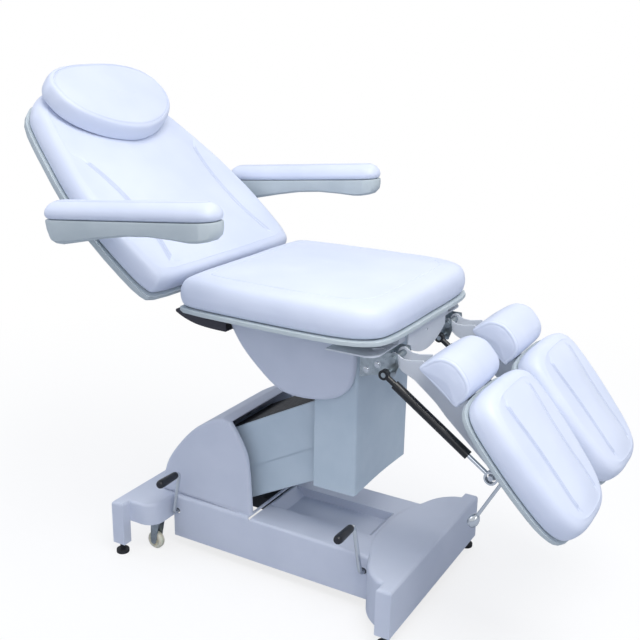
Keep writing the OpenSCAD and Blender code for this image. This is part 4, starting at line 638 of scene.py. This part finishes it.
def boltMesh(name, s, x, y, z, out):  # a low dome on a thin flange, its axis along y
    profile = [(1.25, 0), (1.25, 0.2), (1.0, 0.26), (0.97, 0.5), (0.85, 0.75), (0.6, 0.92), (0.3, 0.99)]
    form = bmesh.new()
    rings = [[form.verts.new((x + r * s["radius"] * math.cos(a), y + out * h * s["rise"],
                              z + r * s["radius"] * math.sin(a)))
              for a in [k * math.tau / 28 for k in range(28)]] for r, h in profile]
    for low, high in zip(rings, rings[1:]):
        for k in range(28):
            form.faces.new((low[k], low[(k + 1) % 28], high[(k + 1) % 28], high[k]))
    form.faces.new(rings[0])
    form.faces.new(rings[-1])
    bmesh.ops.recalc_face_normals(form, faces=form.faces)
    form.transform(Matrix.Scale(mm, 4))
    mesh = bpy.data.meshes.new(name)
    form.to_mesh(mesh)
    form.free()
    return mesh


for side, sign in (("left", 1), ("right", -1)):
    for out in (1, -1):
        for k, (x, z) in enumerate(bolts["at"]):
            name = "bracketBolt" + side.title() + ("Outer" if out == sign else "Inner") + str(k)
            y = sign * bolts["legY"] + out * bolts["plateY"]
            keepPiece(name, boltMesh(name, bolts, x, y, z, out), "leg_swing_" + side, "chrome_rod", None, 40)
print("small fittings made")


# Camera, light and floor

view = {"place": (1171.3, -2019.2, 1410.0), "azimuth": 29.7, "elevation": 17.1, "roll": 1.0, "focalPx": 930.6,
        "centrePx": (318.6, 319.7), "framePx": 640, "sensorMm": 36}


def aimCamera():
    az, el, roll = (math.radians(view[key]) for key in ("azimuth", "elevation", "roll"))
    backward = Vector((math.sin(az) * math.cos(el), -math.cos(az) * math.cos(el), math.sin(el)))
    level = Vector((math.cos(az), math.sin(az), 0))
    upright = backward.cross(level)
    right = level * math.cos(roll) + upright * math.sin(roll)
    up = upright * math.cos(roll) - level * math.sin(roll)
    lens = bpy.data.cameras.new("photoCamera")
    lens.sensor_fit, lens.sensor_width = "HORIZONTAL", view["sensorMm"]
    lens.lens = view["focalPx"] / view["framePx"] * view["sensorMm"]
    lens.shift_x = (view["framePx"] / 2 - view["centrePx"][0]) / view["framePx"]
    lens.shift_y = (view["centrePx"][1] - view["framePx"] / 2) / view["framePx"]
    lens.clip_end = 30
    camera = bpy.data.objects.new("photoCamera", lens)
    turned = Matrix((right, up, backward)).transposed().to_4x4()
    camera.matrix_world = Matrix.Translation(Vector(view["place"]) * mm) @ turned
    bpy.context.scene.collection.objects.link(camera)
    bpy.context.scene.camera = camera


def softLamp(name, place, target, size, power, hexCode):
    lamp = bpy.data.lights.new(name, "AREA")
    lamp.shape, lamp.size, lamp.energy = "DISK", size, power
    lamp.color = linearColour(hexCode)[:3]
    holder = bpy.data.objects.new(name, lamp)
    holder.location = place
    holder.rotation_euler = (Vector(target) - Vector(place)).to_track_quat("-Z", "Y").to_euler()
    bpy.context.scene.collection.objects.link(holder)


def studio():
    world = bpy.data.worlds.new("paleStudio")
    bpy.context.scene.world = world
    world.use_nodes = True
    tree = world.node_tree
    tree.nodes.clear()
    path = addNode(tree, "ShaderNodeLightPath").outputs
    seen = addNode(tree, "ShaderNodeMath", {"operation": "MAXIMUM"},
                   {0: path["Is Camera Ray"], 1: path["Is Transmission Ray"]}).outputs[0]
    gaze = addNode(tree, "ShaderNodeTexCoord").outputs["Generated"]
    height = addNode(tree, "ShaderNodeSeparateXYZ", links={"Vector": gaze}).outputs["Z"]
    sky = addNode(tree, "ShaderNodeMapRange", {"From Min": 0, "From Max": 0.9, "To Min": 0.42, "To Max": 0.95},
                  {"Value": height}).outputs["Result"]
    fill = addNode(tree, "ShaderNodeBackground", {"Color": linearColour("#E3EAF8")}, {"Strength": sky}).outputs[0]
    mirror = addNode(tree, "ShaderNodeBackground", {"Color": linearColour("#F2F5FA"), "Strength": 0.8}).outputs[0]
    white = addNode(tree, "ShaderNodeBackground", {"Color": (1, 1, 1, 1), "Strength": 1}).outputs[0]
    shiny = addNode(tree, "ShaderNodeMixShader", links={0: path["Is Glossy Ray"], 1: fill, 2: mirror}).outputs[0]
    both = addNode(tree, "ShaderNodeMixShader", links={0: seen, 1: shiny, 2: white}).outputs[0]
    addNode(tree, "ShaderNodeOutputWorld", links={"Surface": both})
    bpy.context.scene.view_settings.view_transform = "Standard"
    softLamp("keyLamp", (1.7, -1.1, 4.2), (0, 0, 0.7), 2.4, 94, "#FFFDF8")
    softLamp("sideLamp", (-3.6, -1.2, 2.4), (0, 0, 0.7), 2.0, 16, "#EAF0FF")
    softLamp("frontLamp", (2.4, -3.6, 2.2), (0.2, 0, 0.6), 2.4, 24, "#F1F3FF")


def floorPlane():
    mesh = bpy.data.meshes.new("paleFloor")
    half = 9
    mesh.from_pydata([(-half, -half, 0), (half, -half, 0), (half, half, 0), (-half, half, 0)], [], [(0, 1, 2, 3)])
    floor = bpy.data.objects.new("paleFloor", mesh)
    bpy.context.scene.collection.objects.link(floor)
    finish, tree, place = startFinish("paleFloorPaint")
    path = addNode(tree, "ShaderNodeLightPath").outputs
    # what the camera sees stays pale, the light thrown back up is that of a grey floor
    colour = addNode(tree, "ShaderNodeMix", {"data_type": "RGBA", 6: linearColour("#B9BDC4")},
                     {0: path["Is Camera Ray"], 7: tinted(tree, cloudy(tree, place, 700), "#F6F7FA", "#FBFBFD")}
                     ).outputs[2]
    matt = addNode(tree, "ShaderNodeBsdfPrincipled", {"Roughness": 0.7, "Specular IOR Level": 0.2},
                   {"Base Color": colour}).outputs["BSDF"]
    glow = addNode(tree, "ShaderNodeEmission", {"Color": (1, 1, 1, 1), "Strength": 1}).outputs[0]
    away = addNode(tree, "ShaderNodeVectorMath", {"operation": "LENGTH"}, {0: place}).outputs["Value"]
    glowShare = addNode(tree, "ShaderNodeMapRange", {"From Min": 0.5, "From Max": 2.6, "To Min": 0.78, "To Max": 1},
                        {"Value": away}).outputs["Result"]
    share = addNode(tree, "ShaderNodeMath", {"operation": "MULTIPLY"},
                    {0: path["Is Camera Ray"], 1: glowShare}).outputs[0]
    mixed = addNode(tree, "ShaderNodeMixShader", links={0: share, 1: matt, 2: glow}).outputs[0]
    addNode(tree, "ShaderNodeOutputMaterial", links={"Surface": mixed})
    mesh.materials.append(finish)


aimCamera()
studio()
floorPlane()
print("camera, lamps and floor set")
